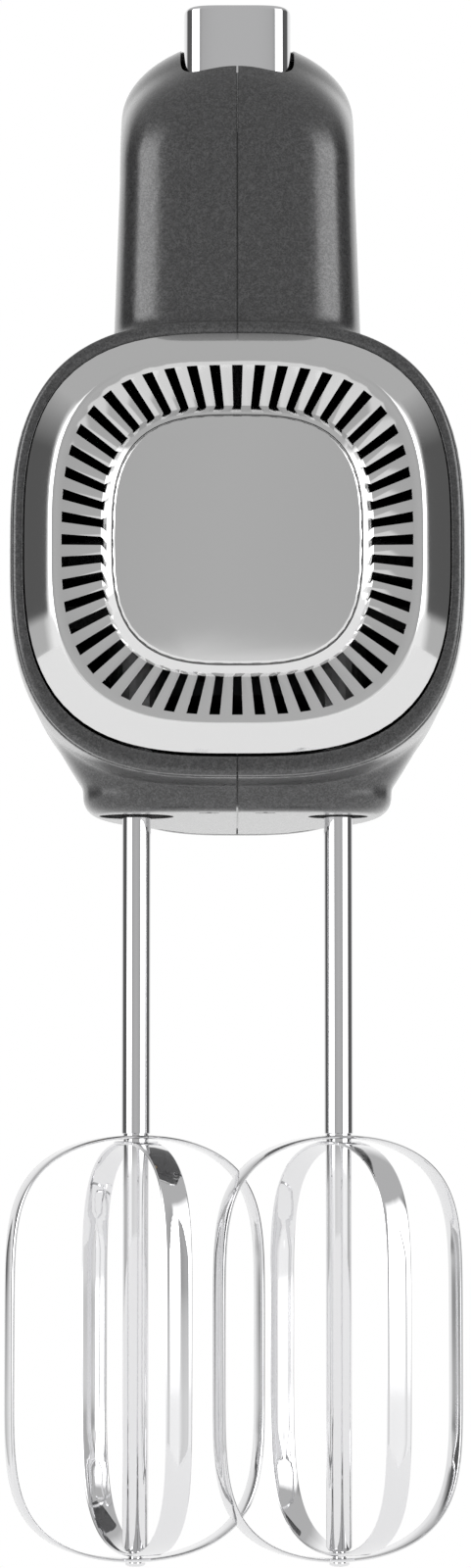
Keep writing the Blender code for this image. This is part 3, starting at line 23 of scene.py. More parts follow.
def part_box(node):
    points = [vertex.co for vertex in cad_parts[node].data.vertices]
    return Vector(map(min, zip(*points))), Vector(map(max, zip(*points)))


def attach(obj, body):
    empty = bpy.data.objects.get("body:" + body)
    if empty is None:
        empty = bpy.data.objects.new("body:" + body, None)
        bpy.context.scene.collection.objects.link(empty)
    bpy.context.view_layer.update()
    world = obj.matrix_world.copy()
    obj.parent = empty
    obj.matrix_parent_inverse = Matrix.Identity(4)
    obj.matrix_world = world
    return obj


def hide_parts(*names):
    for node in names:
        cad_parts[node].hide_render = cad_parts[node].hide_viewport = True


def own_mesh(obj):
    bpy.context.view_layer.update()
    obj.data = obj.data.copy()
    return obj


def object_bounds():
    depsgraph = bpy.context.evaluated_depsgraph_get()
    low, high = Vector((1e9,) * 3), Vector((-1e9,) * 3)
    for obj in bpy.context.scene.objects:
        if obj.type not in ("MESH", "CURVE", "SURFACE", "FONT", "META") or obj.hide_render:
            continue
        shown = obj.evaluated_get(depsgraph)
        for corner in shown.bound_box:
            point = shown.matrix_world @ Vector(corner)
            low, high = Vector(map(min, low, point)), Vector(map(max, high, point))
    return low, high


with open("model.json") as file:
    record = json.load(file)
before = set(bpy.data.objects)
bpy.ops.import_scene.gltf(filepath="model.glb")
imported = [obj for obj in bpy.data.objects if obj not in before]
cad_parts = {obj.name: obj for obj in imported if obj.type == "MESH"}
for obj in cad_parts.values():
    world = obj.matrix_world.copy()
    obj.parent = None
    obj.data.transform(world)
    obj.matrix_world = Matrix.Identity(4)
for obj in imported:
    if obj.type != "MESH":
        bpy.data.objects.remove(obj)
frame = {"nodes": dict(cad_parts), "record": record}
cad_low, cad_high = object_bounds()
print("the model spans", [round(high - low, 4) for low, high in zip(cad_low, cad_high)], "m")

# %% [markdown]
# Most of the mixer's surfaces are easiest to describe from two places: the plane of the two
# beater shafts, and the flat underside of the gearbox. Both are read from the frame, and
# `spot` turns a place given that way into a point of the scene.

# %% Reference places
shaft_low, shaft_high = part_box("beater_shaft_left")
SHAFT_Y = (shaft_low.y + shaft_high.y) / 2
SHAFT_X = -(shaft_low.x + shaft_high.x) / 2
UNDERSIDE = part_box("housing_left")[0].z


def spot(x, y, height):
    """The point at x, so far behind the beater shafts and so high above the underside."""
    return Vector((x, SHAFT_Y + y, UNDERSIDE + height))


print("shafts at x =", round(SHAFT_X, 4), "and y =", round(SHAFT_Y, 4))
print("underside at z =", round(UNDERSIDE, 4))

# %% [markdown]
# ## Camera, light and floor
# The camera stands a metre in front of the beaters, a little below the middle of the mixer, and
# looks slightly up. A long lens keeps the beaters nearly parallel. The world stands for a white
# studio: it is pale above and below, has a bright strip to each side and dark flags behind the
# strips. Those strips draw the long highlights down the handle and the polished shafts.

# %% Camera
CAMERA_DISTANCE = 1.000
CAMERA_X = -0.0004
CAMERA_HEIGHT = -0.231
CAMERA_TILT = math.radians(4.363)
LENS = 103.2

camera_data = bpy.data.cameras.new("camera")
camera_data.lens = LENS
camera_data.sensor_width = 36.0
camera = bpy.data.objects.new("camera", camera_data)
camera.location = (CAMERA_X, SHAFT_Y - CAMERA_DISTANCE, CAMERA_HEIGHT)
camera.rotation_euler = (math.pi / 2 + CAMERA_TILT, 0.0, 0.0)
bpy.context.scene.collection.objects.link(camera)
bpy.context.scene.camera = camera
bpy.context.scene.view_settings.view_transform = "Standard"
print("camera at", [round(value, 3) for value in camera.location])

# %% [markdown]
# The world gives its brightness from the direction alone: `turn` is 0 at the front and 1 at the
# back, and `level` is 0 straight down and 1 straight up. The camera itself sees plain white.

# %% World
world = bpy.data.worlds.new("studio")
world.use_nodes = True
bpy.context.scene.world = world
tree = world.node_tree
tree.nodes.clear()


def node(kind, **values):
    made = tree.nodes.new(kind)
    for name, value in values.items():
        setattr(made, name, value)
    return made


def link(source, target):
    tree.links.new(source, target)


def maths(operation, first, second=0.0):
    """A Math node. An input is a number or another node's output."""
    made = node("ShaderNodeMath", operation=operation)
    for socket, value in zip(made.inputs, (first, second)):
        if isinstance(value, (int, float)):
            socket.default_value = value
        else:
            link(value, socket)
    return made.outputs[0]


def ramp(value, stops):
    """A ColorRamp from (place, brightness) pairs."""
    made = node("ShaderNodeValToRGB")
    elements = made.color_ramp.elements
    while len(elements) > 1:
        elements.remove(elements[0])
    elements[0].position = stops[0][0]
    elements[0].color = (stops[0][1],) * 3 + (1.0,)
    for place, brightness in stops[1:]:
        elements.new(place).color = (brightness,) * 3 + (1.0,)
    link(value, made.inputs["Fac"])
    return made.outputs["Color"]


direction = node("ShaderNodeSeparateXYZ")
link(node("ShaderNodeTexCoord").outputs["Generated"], direction.inputs[0])
across, depth, rise = direction.outputs
flat = maths("SQRT", maths("ADD", maths("MULTIPLY", across, across), maths("MULTIPLY", depth, depth)))
turn = maths("DIVIDE", maths("ARCCOSINE", maths("DIVIDE", maths("MULTIPLY", depth, -1.0), flat)), math.pi)
STRIP = 1.0
around = ramp(
    turn,
    (
        (0.00, 0.165),
        (0.13, 0.15),
        (0.19, 0.12),
        (0.215, STRIP),
        (0.42, STRIP),
        (0.46, 0.035),
        (0.70, 0.035),
        (0.78, 0.28),
        (1.00, 0.33),
    ),
)
near_table = ramp(
    turn,
    (
        (0.00, 0.27),
        (0.17, 0.24),
        (0.22, 0.34),
        (0.44, 0.33),
        (0.48, 0.17),
        (0.68, 0.17),
        (0.78, 0.30),
        (1.00, 0.33),
    ),
)
upward = maths("DIVIDE", maths("ARCSINE", rise), math.pi)
level = maths("ADD", upward, 0.5)
above = ramp(level, ((0.0, 0.0), (0.62, 0.0), (0.74, 1.0)))
below = ramp(level, ((0.26, 1.0), (0.38, 0.0)))
low = ramp(level, ((0.4805, 1.0), (0.4945, 0.0)))
BRIGHT = 3.0


def blend_colours(share, first, second):
    made = node("ShaderNodeMix", data_type="RGBA")
    link(share, made.inputs["Factor"])
    for socket, value in ((made.inputs[6], first), (made.inputs[7], second)):
        if isinstance(value, float):
            socket.default_value = (value, value, value, 1.0)
        else:
            link(value, socket)
    return made.outputs[2]


sides = blend_colours(low, blend_colours(above, around, 0.165), near_table)
whole = blend_colours(below, sides, 0.26)
studio = node("ShaderNodeBackground")
studio.inputs["Strength"].default_value = BRIGHT
link(whole, studio.inputs["Color"])
backdrop = node("ShaderNodeBackground")
backdrop.inputs["Color"].default_value = (1.0, 1.0, 1.0, 1.0)
chosen = node("ShaderNodeMixShader")
link(node("ShaderNodeLightPath").outputs["Is Camera Ray"], chosen.inputs["Fac"])
link(studio.outputs[0], chosen.inputs[1])
link(backdrop.outputs[0], chosen.inputs[2])
link(chosen.outputs[0], node("ShaderNodeOutputWorld").inputs["Surface"])

# %% [markdown]
# The floor is a wide pale disc well under the beaters, because a mixer is held in the air while
# it is looked at. It belongs to the stage, not to the object.

# %% Floor
FLOOR_DROP = 0.30
bpy.ops.object.select_all(action="DESELECT")
bpy.ops.mesh.primitive_circle_add(
    vertices=96, radius=2.2, fill_type="NGON", location=(0.0, 0.0, cad_low.z - FLOOR_DROP)
)
floor = bpy.context.active_object
floor.name = "floor"


def new_material(name):
    """A material with a Principled shader, and that shader."""
    material = bpy.data.materials.new(name)
    material.use_nodes = True
    return material, material.node_tree.nodes["Principled BSDF"]


def adder(material):
    """A function that adds a node to this material."""
    nodes = material.node_tree.nodes

    def add(kind, inputs=(), **values):
        made = nodes.new(kind)
        for name, value in values.items():
            setattr(made, name, value)
        for name, value in dict(inputs).items():
            if isinstance(value, bpy.types.NodeSocket):
                material.node_tree.links.new(value, made.inputs[name])
            else:
                made.inputs[name].default_value = value
        return made

    return add


paper, paper_shader = new_material("floor_paper")
paper_shader.inputs["Base Color"].default_value = (0.86, 0.86, 0.86, 1.0)
paper_shader.inputs["Roughness"].default_value = 0.9
paper_shader.inputs["Emission Color"].default_value = (1.0, 1.0, 1.0, 1.0)
paper_shader.inputs["Emission Strength"].default_value = 0.35
floor.data.materials.append(paper)
print("floor", FLOOR_DROP, "m under the beaters")

# %% [markdown]
# ## Finishes
# The casing is painted a dark metallic grey: a paint with fine aluminium flakes under a satin
# lacquer. The flakes are tiny cells of a Voronoi texture, each with its own brightness, and a
# larger noise keeps the colour from being dead even.

# %% Metallic paint
FLAKE_SIZE = 0.00027


def flake_paint(name, dark, light, roughness):
    material, shader = new_material(name)
    add = adder(material)
    place = add("ShaderNodeTexCoord").outputs["Object"]
    flakes = add(
        "ShaderNodeTexVoronoi", {"Vector": place, "Scale": 1 / FLAKE_SIZE}, feature="F1"
    )
    spread = add("ShaderNodeSeparateColor", {"Color": flakes.outputs["Color"]})
    mottle = add("ShaderNodeTexNoise", {"Vector": place, "Scale": 900.0, "Detail": 3.0})
    both = add(
        "ShaderNodeMath", {0: spread.outputs[0], 1: mottle.outputs["Fac"]}, operation="MULTIPLY"
    )
    colour = add("ShaderNodeValToRGB", {"Fac": both.outputs[0]})
    colour.color_ramp.elements[0].color = (*dark, 1.0)
    colour.color_ramp.elements[0].position = 0.05
    colour.color_ramp.elements[1].color = (*light, 1.0)
    colour.color_ramp.elements[1].position = 0.55
    gloss = add("ShaderNodeMapRange", {"Value": mottle.outputs["Fac"], "To Min": roughness - 0.04,
                                       "To Max": roughness + 0.05})
    bump = add(
        "ShaderNodeBump", {"Height": spread.outputs[1], "Strength": 0.10, "Distance": 0.00004}
    )
    links = material.node_tree.links
    links.new(colour.outputs["Color"], shader.inputs["Base Color"])
    links.new(gloss.outputs["Result"], shader.inputs["Roughness"])
    links.new(bump.outputs["Normal"], shader.inputs["Normal"])
    shader.inputs["Metallic"].default_value = 0.60
    shader.inputs["Coat Weight"].default_value = 0.80
    shader.inputs["Coat Roughness"].default_value = 0.20
    return material


PAINT = flake_paint("gunmetal_paint", (0.045, 0.045, 0.046), (0.108, 0.108, 0.110), 0.28)


# %% [markdown]
# The metals differ in tint and gloss, and fine parallel lines in a stretched noise stand for the
# marks that turning, rolling and winding leave.

# %% Metals
def metal(name, tint, roughness, grain=0.0, scale=(1.0, 1.0, 1.0), scratches=900.0):
    """A metal whose gloss varies a little. grain tilts the surface along fine parallel lines."""
    material, shader = new_material(name)
    add = adder(material)
    place = add("ShaderNodeTexCoord").outputs["Object"]
    stretched = add("ShaderNodeMapping", {"Vector": place, "Scale": scale})
    lines = add(
        "ShaderNodeTexNoise", {"Vector": stretched.outputs[0], "Scale": scratches, "Detail": 4.0}
    )
    gloss = add("ShaderNodeMapRange", {"Value": lines.outputs["Fac"], "To Min": roughness * 0.75,
                                       "To Max": roughness * 1.3})
    bump = add("ShaderNodeBump", {"Height": lines.outputs["Fac"], "Strength": grain,
                                  "Distance": 0.00003})
    links = material.node_tree.links
    links.new(gloss.outputs["Result"], shader.inputs["Roughness"])
    links.new(bump.outputs["Normal"], shader.inputs["Normal"])
    shader.inputs["Base Color"].default_value = (*tint, 1.0)
    shader.inputs["Metallic"].default_value = 1.0
    return material


STEEL = metal("polished_steel", (0.84, 0.84, 0.85), 0.05, 0.02)
SATIN = metal("satin_metal", (0.80, 0.80, 0.80), 0.07, 0.02)
MACHINED = metal("machined_steel", (0.62, 0.62, 0.64), 0.30, 0.25, (1.0, 1.0, 14.0))
IRON = metal("lamination_iron", (0.28, 0.28, 0.30), 0.45, 0.5, (0.2, 9.0, 0.2), 1500.0)
COPPER = metal("copper", (0.70, 0.29, 0.12), 0.32, 0.5, (0.3, 6.0, 0.3), 1800.0)
BRONZE = metal("bronze", (0.62, 0.42, 0.20), 0.38, 0.2)


# %% [markdown]
# The plastics have the fine grain of their mould. The gears are of dark glass-filled nylon, so
# that little of them shows through the slots.

# %% Plastics and the rest
def plastic(name, colour, roughness, bumps=0.15, scale=2500.0):
    """A moulded plastic with the fine grain of a sparked mould."""
    material, shader = new_material(name)
    add = adder(material)
    place = add("ShaderNodeTexCoord").outputs["Object"]
    grain = add("ShaderNodeTexNoise", {"Vector": place, "Scale": scale, "Detail": 3.0})
    cloud = add("ShaderNodeTexNoise", {"Vector": place, "Scale": 60.0})
    shade = add("ShaderNodeValToRGB", {"Fac": cloud.outputs["Fac"]})
    shade.color_ramp.elements[0].color = (*[c * 0.85 for c in colour], 1.0)
    shade.color_ramp.elements[1].color = (*[min(c * 1.12, 1.0) for c in colour], 1.0)
    gloss = add("ShaderNodeMapRange", {"Value": grain.outputs["Fac"], "To Min": roughness - 0.06,
                                       "To Max": roughness + 0.08})
    bump = add("ShaderNodeBump", {"Height": grain.outputs["Fac"], "Strength": bumps,
                                  "Distance": 0.00005})
    links = material.node_tree.links
    links.new(shade.outputs["Color"], shader.inputs["Base Color"])
    links.new(gloss.outputs["Result"], shader.inputs["Roughness"])
    links.new(bump.outputs["Normal"], shader.inputs["Normal"])
    return material


NYLON = plastic("filled_nylon", (0.035, 0.035, 0.037), 0.45)
BLACK = plastic("black_plastic", (0.018, 0.018, 0.020), 0.45)
CARBON = plastic("carbon", (0.03, 0.03, 0.032), 0.65, 0.4)
BOARD = plastic("circuit_board", (0.02, 0.15, 0.07), 0.40)

FINISHES = {
    "gunmetal_paint": PAINT,
    "satin_metal": SATIN,
    "polished_steel": STEEL,
    "machined_steel": MACHINED,
    "nylon": NYLON,
    "black_plastic": BLACK,
    "lamination_iron": IRON,
    "copper": COPPER,
    "bronze": BRONZE,
    "carbon": CARBON,
    "circuit_board": BOARD,
}
print(len(FINISHES), "finishes")

# %% [markdown]
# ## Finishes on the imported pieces
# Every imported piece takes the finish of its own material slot, so that the inside of the mixer
# looks right too when it is opened. The pieces that show most are replaced below.

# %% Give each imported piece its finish
for entry in frame["record"]["materials"]:
    for name in entry.get("nodes", ()):
        piece = frame["nodes"][name]
        piece.data.materials.clear()
        piece.data.materials.append(FINISHES[entry["slot"]])
bare = [name for name, piece in frame["nodes"].items() if not piece.data.materials]
print("pieces with no finish:", bare)

# %% [markdown]
# The modelling steps repeat a few moves: pick objects, join them, apply a modifier, cut one with
# another, and fold a grid into a tube.

# %% Helpers for modelling


def clear_selection():
    if bpy.context.mode != "OBJECT":
        bpy.ops.object.mode_set(mode="OBJECT")
    bpy.ops.object.select_all(action="DESELECT")


def pick(*objects):
    """Selects these objects only, the first one active."""
    clear_selection()
    for piece in objects:
        piece.select_set(True)
    bpy.context.view_layer.objects.active = objects[0]
    return objects[0]


def join(*objects):
    pick(*objects)
    bpy.ops.object.join()
    return bpy.context.active_object


def apply_modifier(piece, kind, **settings):
    """Adds a modifier, sets it and applies it."""
    pick(piece)
    modifier = piece.modifiers.new(kind.lower(), kind)
    for name, value in settings.items():
        setattr(modifier, name, value)
    bpy.ops.object.modifier_apply(modifier=modifier.name)
    return piece


def cut(piece, tool, operation="DIFFERENCE"):
    """A Boolean with another object, which is then removed."""
    apply_modifier(piece, "BOOLEAN", operation=operation, object=tool, solver="MANIFOLD")
    bpy.data.objects.remove(tool, do_unlink=True)
    return piece


def wrapped(name, around, along, place, closed_along=False):
    """A grid folded into a tube. place(u, v) gives the point at the share u round and v along.

    The two long sides meet and are merged. The two ends meet as well if closed_along is set,
    and are capped otherwise.
    """
    clear_selection()
    bpy.ops.mesh.primitive_grid_add(x_subdivisions=around, y_subdivisions=along, size=1.0)
    piece = bpy.context.active_object
    piece.name = name
    for vertex in piece.data.vertices:
        vertex.co = place(vertex.co.x + 0.5, vertex.co.y + 0.5)
    bpy.ops.object.mode_set(mode="EDIT")
    bpy.ops.mesh.select_all(action="SELECT")
    bpy.ops.mesh.remove_doubles(threshold=1e-6)
    if not closed_along:
        bpy.ops.mesh.select_all(action="DESELECT")
        bpy.ops.mesh.select_mode(type="EDGE")
        bpy.ops.mesh.select_non_manifold()
        bpy.ops.mesh.edge_face_add()
    bpy.ops.mesh.select_all(action="SELECT")
    bpy.ops.mesh.normals_make_consistent(inside=False)
    bpy.ops.object.mode_set(mode="OBJECT")
    return piece


def dressed(piece, name, material, slot, body, *nodes):
    """Names a finished piece, gives it its finish and its body, and hides the nodes it stands for."""
    piece.name = name
    piece.data.name = name
    piece.data.materials.clear()
    piece.data.materials.append(material)
    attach(piece, body)
    if nodes:
        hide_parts(*nodes)
    triangles = sum(len(face.vertices) - 2 for face in piece.data.polygons)
    print(name, triangles, "triangles")
    return piece


def smooth(piece, degrees=30.0):
    pick(piece)
    bpy.ops.object.shade_smooth_by_angle(angle=math.radians(degrees))
    return piece


def powered(value, power):
    return math.copysign(abs(value) ** power, value)


def superellipse(share, half_a, half_b, power):
    """The point at that share round a superellipse, which starts at the top."""
    angle = math.tau * share
    return (
        half_a * powered(math.sin(angle), 2 / power),
        half_b * powered(math.cos(angle), 2 / power),
    )


def ease(value, low, high):
    """0 up to low, 1 from high on, and a smooth change between."""
    share = min(max((value - low) / (high - low), 0.0), 1.0)
    return share * share * (3 - 2 * share)


def mix(low, high, share):
    return low + (high - low) * share


def along_profile(stations, v):
    """The values at share v along a list of stations, with straight runs between them."""
    place = v * (len(stations) - 1)
    index = min(int(place), len(stations) - 2)
    share = place - index
    return [mix(a, b, share) for a, b in zip(stations[index], stations[index + 1])]


def spread(low, high, steps):
    return [mix(low, high, i / steps) for i in range(steps + 1)]


# %% [markdown]
# ## Casing
# The casing is two moulded shells that meet in the middle. Its outer surface has three parts: a
# barrel of rounded square section that runs backwards, a belly under it that holds the gears, and
# a loop handle above. Each is a grid wrapped round its own section. The three are remeshed into
# one skin, and the skin is smoothed only where they meet, which leaves moulded fillets.

# %% Barrel
rim_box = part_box("grille_bezel")
cap_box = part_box("rear_cap")
BARREL_FRONT = -0.0370
BARREL_END = cap_box[0].y - SHAFT_Y - 0.0003
HEEL = cap_box[1].y - SHAFT_Y
FRONT_HALF = 0.0500
REAR_HALF = 0.0440
FRONT_CENTRE = 0.0558
REAR_CENTRE = 0.0488
TAPER_START = 0.0300
SQUARENESS = 3.0
GROOVE = BARREL_FRONT + 0.0042
RIM_HALF_X = 0.0488
RIM_HALF_Z = 0.0495
FLARE_END = BARREL_FRONT + 0.0190
WALL = 0.0024


def barrel_halves(y):
    """Half the barrel's width and half its height, which grow a little behind the rim."""
    flare = ease(y, GROOVE - 0.010, FLARE_END)
    taper = (REAR_HALF - FRONT_HALF) * ease(y, TAPER_START, HEEL)
    return mix(RIM_HALF_X, FRONT_HALF, flare) + taper, mix(RIM_HALF_Z, FRONT_HALF, flare) + taper


def barrel_centre(y):
    return mix(FRONT_CENTRE, REAR_CENTRE, ease(y, TAPER_START, HEEL))


def barrel_point(share, y, inset):
    half_x, half_z = barrel_halves(y)
    x, rise = superellipse(share, half_x - inset, half_z - inset, SQUARENESS)
    return spot(x, y, barrel_centre(y) + rise)


def barrel(name, start, end, inset, around=144, along=60):
    return wrapped(
        name, around, along, lambda u, v: barrel_point(u, mix(start, end, v), inset)
    )


# %% [markdown]
# The belly is straight across the front, round at the back, and flares up into the barrel.

# %% Belly
BELLY_HALF_LOW = 0.0344
BELLY_HALF_HIGH = 0.0507
BELLY_LOW = 0.0060
BELLY_HIGH = 0.0431
BELLY_FRONT_LOW = -0.0180
BELLY_FRONT_HIGH = -0.0235
BELLY_REAR_LOW = 0.0590
BELLY_REAR_HIGH = 0.0780
BELLY_EDGE = 0.0040
BELLY_MIDDLE = 0.0020
BELLY_FRONT_SQUARENESS = 3.3
BELLY_REAR_SQUARENESS = (1.9, 3.4)


def belly_point(share, height, inset):
    """Straight at the front and rounded at the back, flaring up to the barrel."""
    rise = min(max((height - BELLY_LOW) / (BELLY_HIGH - BELLY_LOW), 0.0), 1.0)
    flare = 1 - (1 - rise) ** 1.5
    half = mix(BELLY_HALF_LOW, BELLY_HALF_HIGH, flare) - inset
    front = mix(BELLY_FRONT_LOW, BELLY_FRONT_HIGH, rise) + inset
    rear = mix(BELLY_REAR_LOW, BELLY_REAR_HIGH, flare) - inset
    drop = min(max(1 - (height - inset) / BELLY_EDGE, 0.0), 1.0)
    pull = BELLY_EDGE * (1 - math.sqrt(1 - drop * drop))
    half, front, rear = half - pull, front + pull, rear - pull
    angle = math.tau * share
    back = math.cos(angle) > 0
    power = mix(*BELLY_REAR_SQUARENESS, flare) if back else BELLY_FRONT_SQUARENESS
    reach = rear - BELLY_MIDDLE if back else BELLY_MIDDLE - front
    return spot(
        half * powered(math.sin(angle), 2 / power),
        BELLY_MIDDLE + reach * powered(math.cos(angle), 2 / power),
        height,
    )


def belly(name, inset, around=144, along=40):
    def place(u, v):
        height = inset + (BELLY_HIGH - inset) * v ** 1.6
        return belly_point(u, height, inset)

    return wrapped(name, around, along, place)


# %% [markdown]
# The handle is one section carried round a loop: squarish up the front pillar, rounder over the
# shoulder and along the grip, and down the rear pillar.

# %% Handle
handle_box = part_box("housing_left")
HANDLE_TOP = handle_box[1].z - UNDERSIDE
GRIP_UNDER = 0.1480
HANDLE_FRONT_FOOT = -0.0350
HANDLE_FRONT_TOP = -0.0290
HANDLE_REAR = 0.1390
GAP_FRONT = 0.0140
GAP_REAR = 0.1080
FRONT_CORNER = 0.0325
REAR_CORNER = 0.0300
GAP_CORNER = 0.0140
HANDLE_ROOT = 0.0850
PILLAR_HALF = 0.0280
PILLAR_TOP_HALF = 0.0262
GRIP_HALF = 0.0195
REAR_PILLAR_HALF = 0.0200
REAR_LEAN = 0.008
PILLAR_SQUARENESS = 3.8
SHOULDER_SQUARENESS = 1.85
GRIP_SQUARENESS = 2.2
SHOULDER_ANGLE = 0.9
NARROWING_START = -0.0180
NARROWING_END = 0.0600
print("the handle's top is", round(HANDLE_TOP, 4), "m above the underside")


def grip_section(y):
    """Half the handle's width and its squareness at that y, from the shoulder back."""
    share = ease(y, NARROWING_START, NARROWING_END)
    half = mix(PILLAR_TOP_HALF, GRIP_HALF, share)
    return half, mix(SHOULDER_SQUARENESS, GRIP_SQUARENESS, share)


def handle_stations():
    """(inner y, inner height, outer y, outer height, half width, squareness) round the handle."""
    high = HANDLE_TOP - FRONT_CORNER
    rear_high = HANDLE_TOP - REAR_CORNER
    gap_high = GRIP_UNDER - GAP_CORNER
    stations = []
    for share in spread(0.0, 1.0, 12)[:-1]:
        inner = (GAP_FRONT, mix(HANDLE_ROOT, gap_high, share))
        outer = (mix(HANDLE_FRONT_FOOT, HANDLE_FRONT_TOP, share), mix(HANDLE_ROOT, high, share))
        half = mix(PILLAR_HALF, PILLAR_TOP_HALF, share)
        stations.append((*inner, *outer, half, PILLAR_SQUARENESS))
    for angle in spread(0.0, math.pi / 2, 24):
        back, up = -math.cos(angle), math.sin(angle)
        inner = (GAP_FRONT + GAP_CORNER * (1 + back), gap_high + GAP_CORNER * up)
        outer = (HANDLE_FRONT_TOP + FRONT_CORNER * (1 + back), high + FRONT_CORNER * up)
        share = ease(angle, 0.0, SHOULDER_ANGLE)
        squareness = mix(PILLAR_SQUARENESS, SHOULDER_SQUARENESS, share)
        stations.append((*inner, *outer, grip_section(outer[0])[0], squareness))
    for share in spread(0.0, 1.0, 12)[1:-1]:
        inner_y = mix(GAP_FRONT + GAP_CORNER, GAP_REAR - GAP_CORNER, share)
        outer_y = mix(HANDLE_FRONT_TOP + FRONT_CORNER, HANDLE_REAR - REAR_CORNER, share)
        stations.append((inner_y, GRIP_UNDER, outer_y, HANDLE_TOP, *grip_section(outer_y)))
    for angle in spread(math.pi / 2, 0.0, 24):
        back, up = math.cos(angle), math.sin(angle)
        inner = (GAP_REAR - GAP_CORNER * (1 - back), gap_high + GAP_CORNER * up)
        outer = (HANDLE_REAR - REAR_CORNER * (1 - back), rear_high + REAR_CORNER * up)
        stations.append((*inner, *outer, GRIP_HALF, GRIP_SQUARENESS))
    for share in spread(0.0, 1.0, 12)[1:]:
        inner = (GAP_REAR, mix(gap_high, HANDLE_ROOT, share))
        outer = (mix(HANDLE_REAR, HANDLE_REAR - REAR_LEAN, share), mix(rear_high, HANDLE_ROOT, share))
        stations.append((*inner, *outer, mix(GRIP_HALF, REAR_PILLAR_HALF, share), GRIP_SQUARENESS))
    return stations


def handle(name, inset, around=96):
    stations = handle_stations()

    def place(u, v):
        inner_y, inner_h, outer_y, outer_h, half, power = along_profile(stations, v)
        length = math.hypot(outer_y - inner_y, outer_h - inner_h)
        x, reach = superellipse(u, half - inset, length / 2 - inset, power)
        share = 0.5 + reach / length
        return spot(x, mix(inner_y, outer_y, share), mix(inner_h, outer_h, share))

    return wrapped(name, around, len(stations) - 1, place)


# %% [markdown]
# The three parts are remeshed into one skin. Only the vertices that lie close to two of the
# parts are smoothed hard, and that is what makes the fillets.

# %% One skin
VOXEL = 0.0010
FILLET = 0.0042


def surface_of(piece):
    """A search tree of a piece's faces, for measuring distances to it."""
    return BVHTree.FromPolygons(
        [vertex.co.copy() for vertex in piece.data.vertices],
        [tuple(face.vertices) for face in piece.data.polygons],
    )


outer = [
    barrel("barrel", GROOVE, BARREL_END, 0.0),
    belly("belly", 0.0),
    handle("handle", 0.0),
]
surfaces = [surface_of(piece) for piece in outer]
skin = join(*outer)
skin.data.remesh_voxel_size = VOXEL
skin.data.remesh_voxel_adaptivity = 0.0
bpy.ops.object.voxel_remesh()
print("skin", len(skin.data.polygons), "faces")

joint_group = skin.vertex_groups.new(name="joint")
for vertex in skin.data.vertices:
    gaps = sorted(tree.find_nearest(vertex.co)[3] for tree in surfaces)
    weight = 1 - ease(gaps[1], FILLET * 0.35, FILLET)
    if weight > 0:
        joint_group.add([vertex.index], weight, "REPLACE")
apply_modifier(skin, "SMOOTH", factor=0.5, iterations=3)
apply_modifier(skin, "SMOOTH", factor=0.5, iterations=26, vertex_group="joint")
smooth(skin, 50.0)

# %% [markdown]
# The front rim is a band of its own section: a flat face round the grille, a rounded edge, and a
# fine groove behind it. It is folded from a grid as well, closed both ways like a tyre, because a
# remesh would blur its crisp edges.

# %% Rim
GRILLE_HALF_X = (rim_box[1].x - rim_box[0].x) / 2
GRILLE_HALF_Z = (rim_box[1].z - rim_box[0].z) / 2
GRILLE_CENTRE = (rim_box[1].z + rim_box[0].z) / 2 - UNDERSIDE
RIM_GAP = 0.0004
RIM_ROUND = 0.0012
GROOVE_DEPTH = 0.0005


def rim_profile():
    """(share from the bore to the outside, inset from the outside, y) round the rim's section."""
    points = [(0.0, 0.0, GROOVE + 0.0050), (0.0, 0.0, BARREL_FRONT + 0.0003)]
    points += [(0.03, 0.0, BARREL_FRONT + 0.0001), (0.08, 0.0, BARREL_FRONT)]
    for angle in spread(0.0, math.pi / 2, 6):
        inset = RIM_ROUND * (1 - math.sin(angle))
        points.append((1.0, inset, BARREL_FRONT + RIM_ROUND * (1 - math.cos(angle))))
    points += [(1.0, 0.0, GROOVE - 0.0009), (1.0, 0.0001, GROOVE - 0.0007)]
    points += [(1.0, GROOVE_DEPTH, GROOVE - 0.0005), (1.0, GROOVE_DEPTH, GROOVE + 0.0050)]
    points.append(points[0])
    return points


rim_points = rim_profile()


def rim_place(u, v):
    share, inset, y = along_profile(rim_points, v)
    bore = Vector(superellipse(u, GRILLE_HALF_X + RIM_GAP, GRILLE_HALF_Z + RIM_GAP, SQUARENESS))
    edge = Vector(superellipse(u, RIM_HALF_X - inset, RIM_HALF_Z - inset, SQUARENESS))
    x = mix(bore.x, edge.x, share)
    return spot(x, y, mix(GRILLE_CENTRE + bore.y, FRONT_CENTRE + edge.y, share))


rim = wrapped("rim", 180, len(rim_points) - 1, rim_place, closed_along=True)
print("rim", len(rim.data.polygons), "faces")

# %% [markdown]
# A moulded shell is hollow, with walls of even thickness. The hollow is made from the same three
# surfaces, set in by the wall. What has to stay inside it, the screw posts and the seat of the
# eject spring, is cut out of the hollow before the hollow is cut out of the skin.

# %% Hollow
HOLLOW_VOXEL = 0.0013
LIP_DEPTH = 0.0095
SPRING_SEAT = (0.1170, 0.1195)
SCREWS = [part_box(f"housing_screw_{number}") for number in range(1, 6)]
POST_RADIUS = 0.0046


def box_piece(name, low, high):
    """A block between two corners."""
    clear_selection()
    middle = (Vector(low) + Vector(high)) / 2
    bpy.ops.mesh.primitive_cube_add(size=1.0, location=middle, scale=Vector(high) - Vector(low))
    bpy.ops.object.transform_apply(location=True, rotation=True, scale=True)
    bpy.context.active_object.name = name
    return bpy.context.active_object


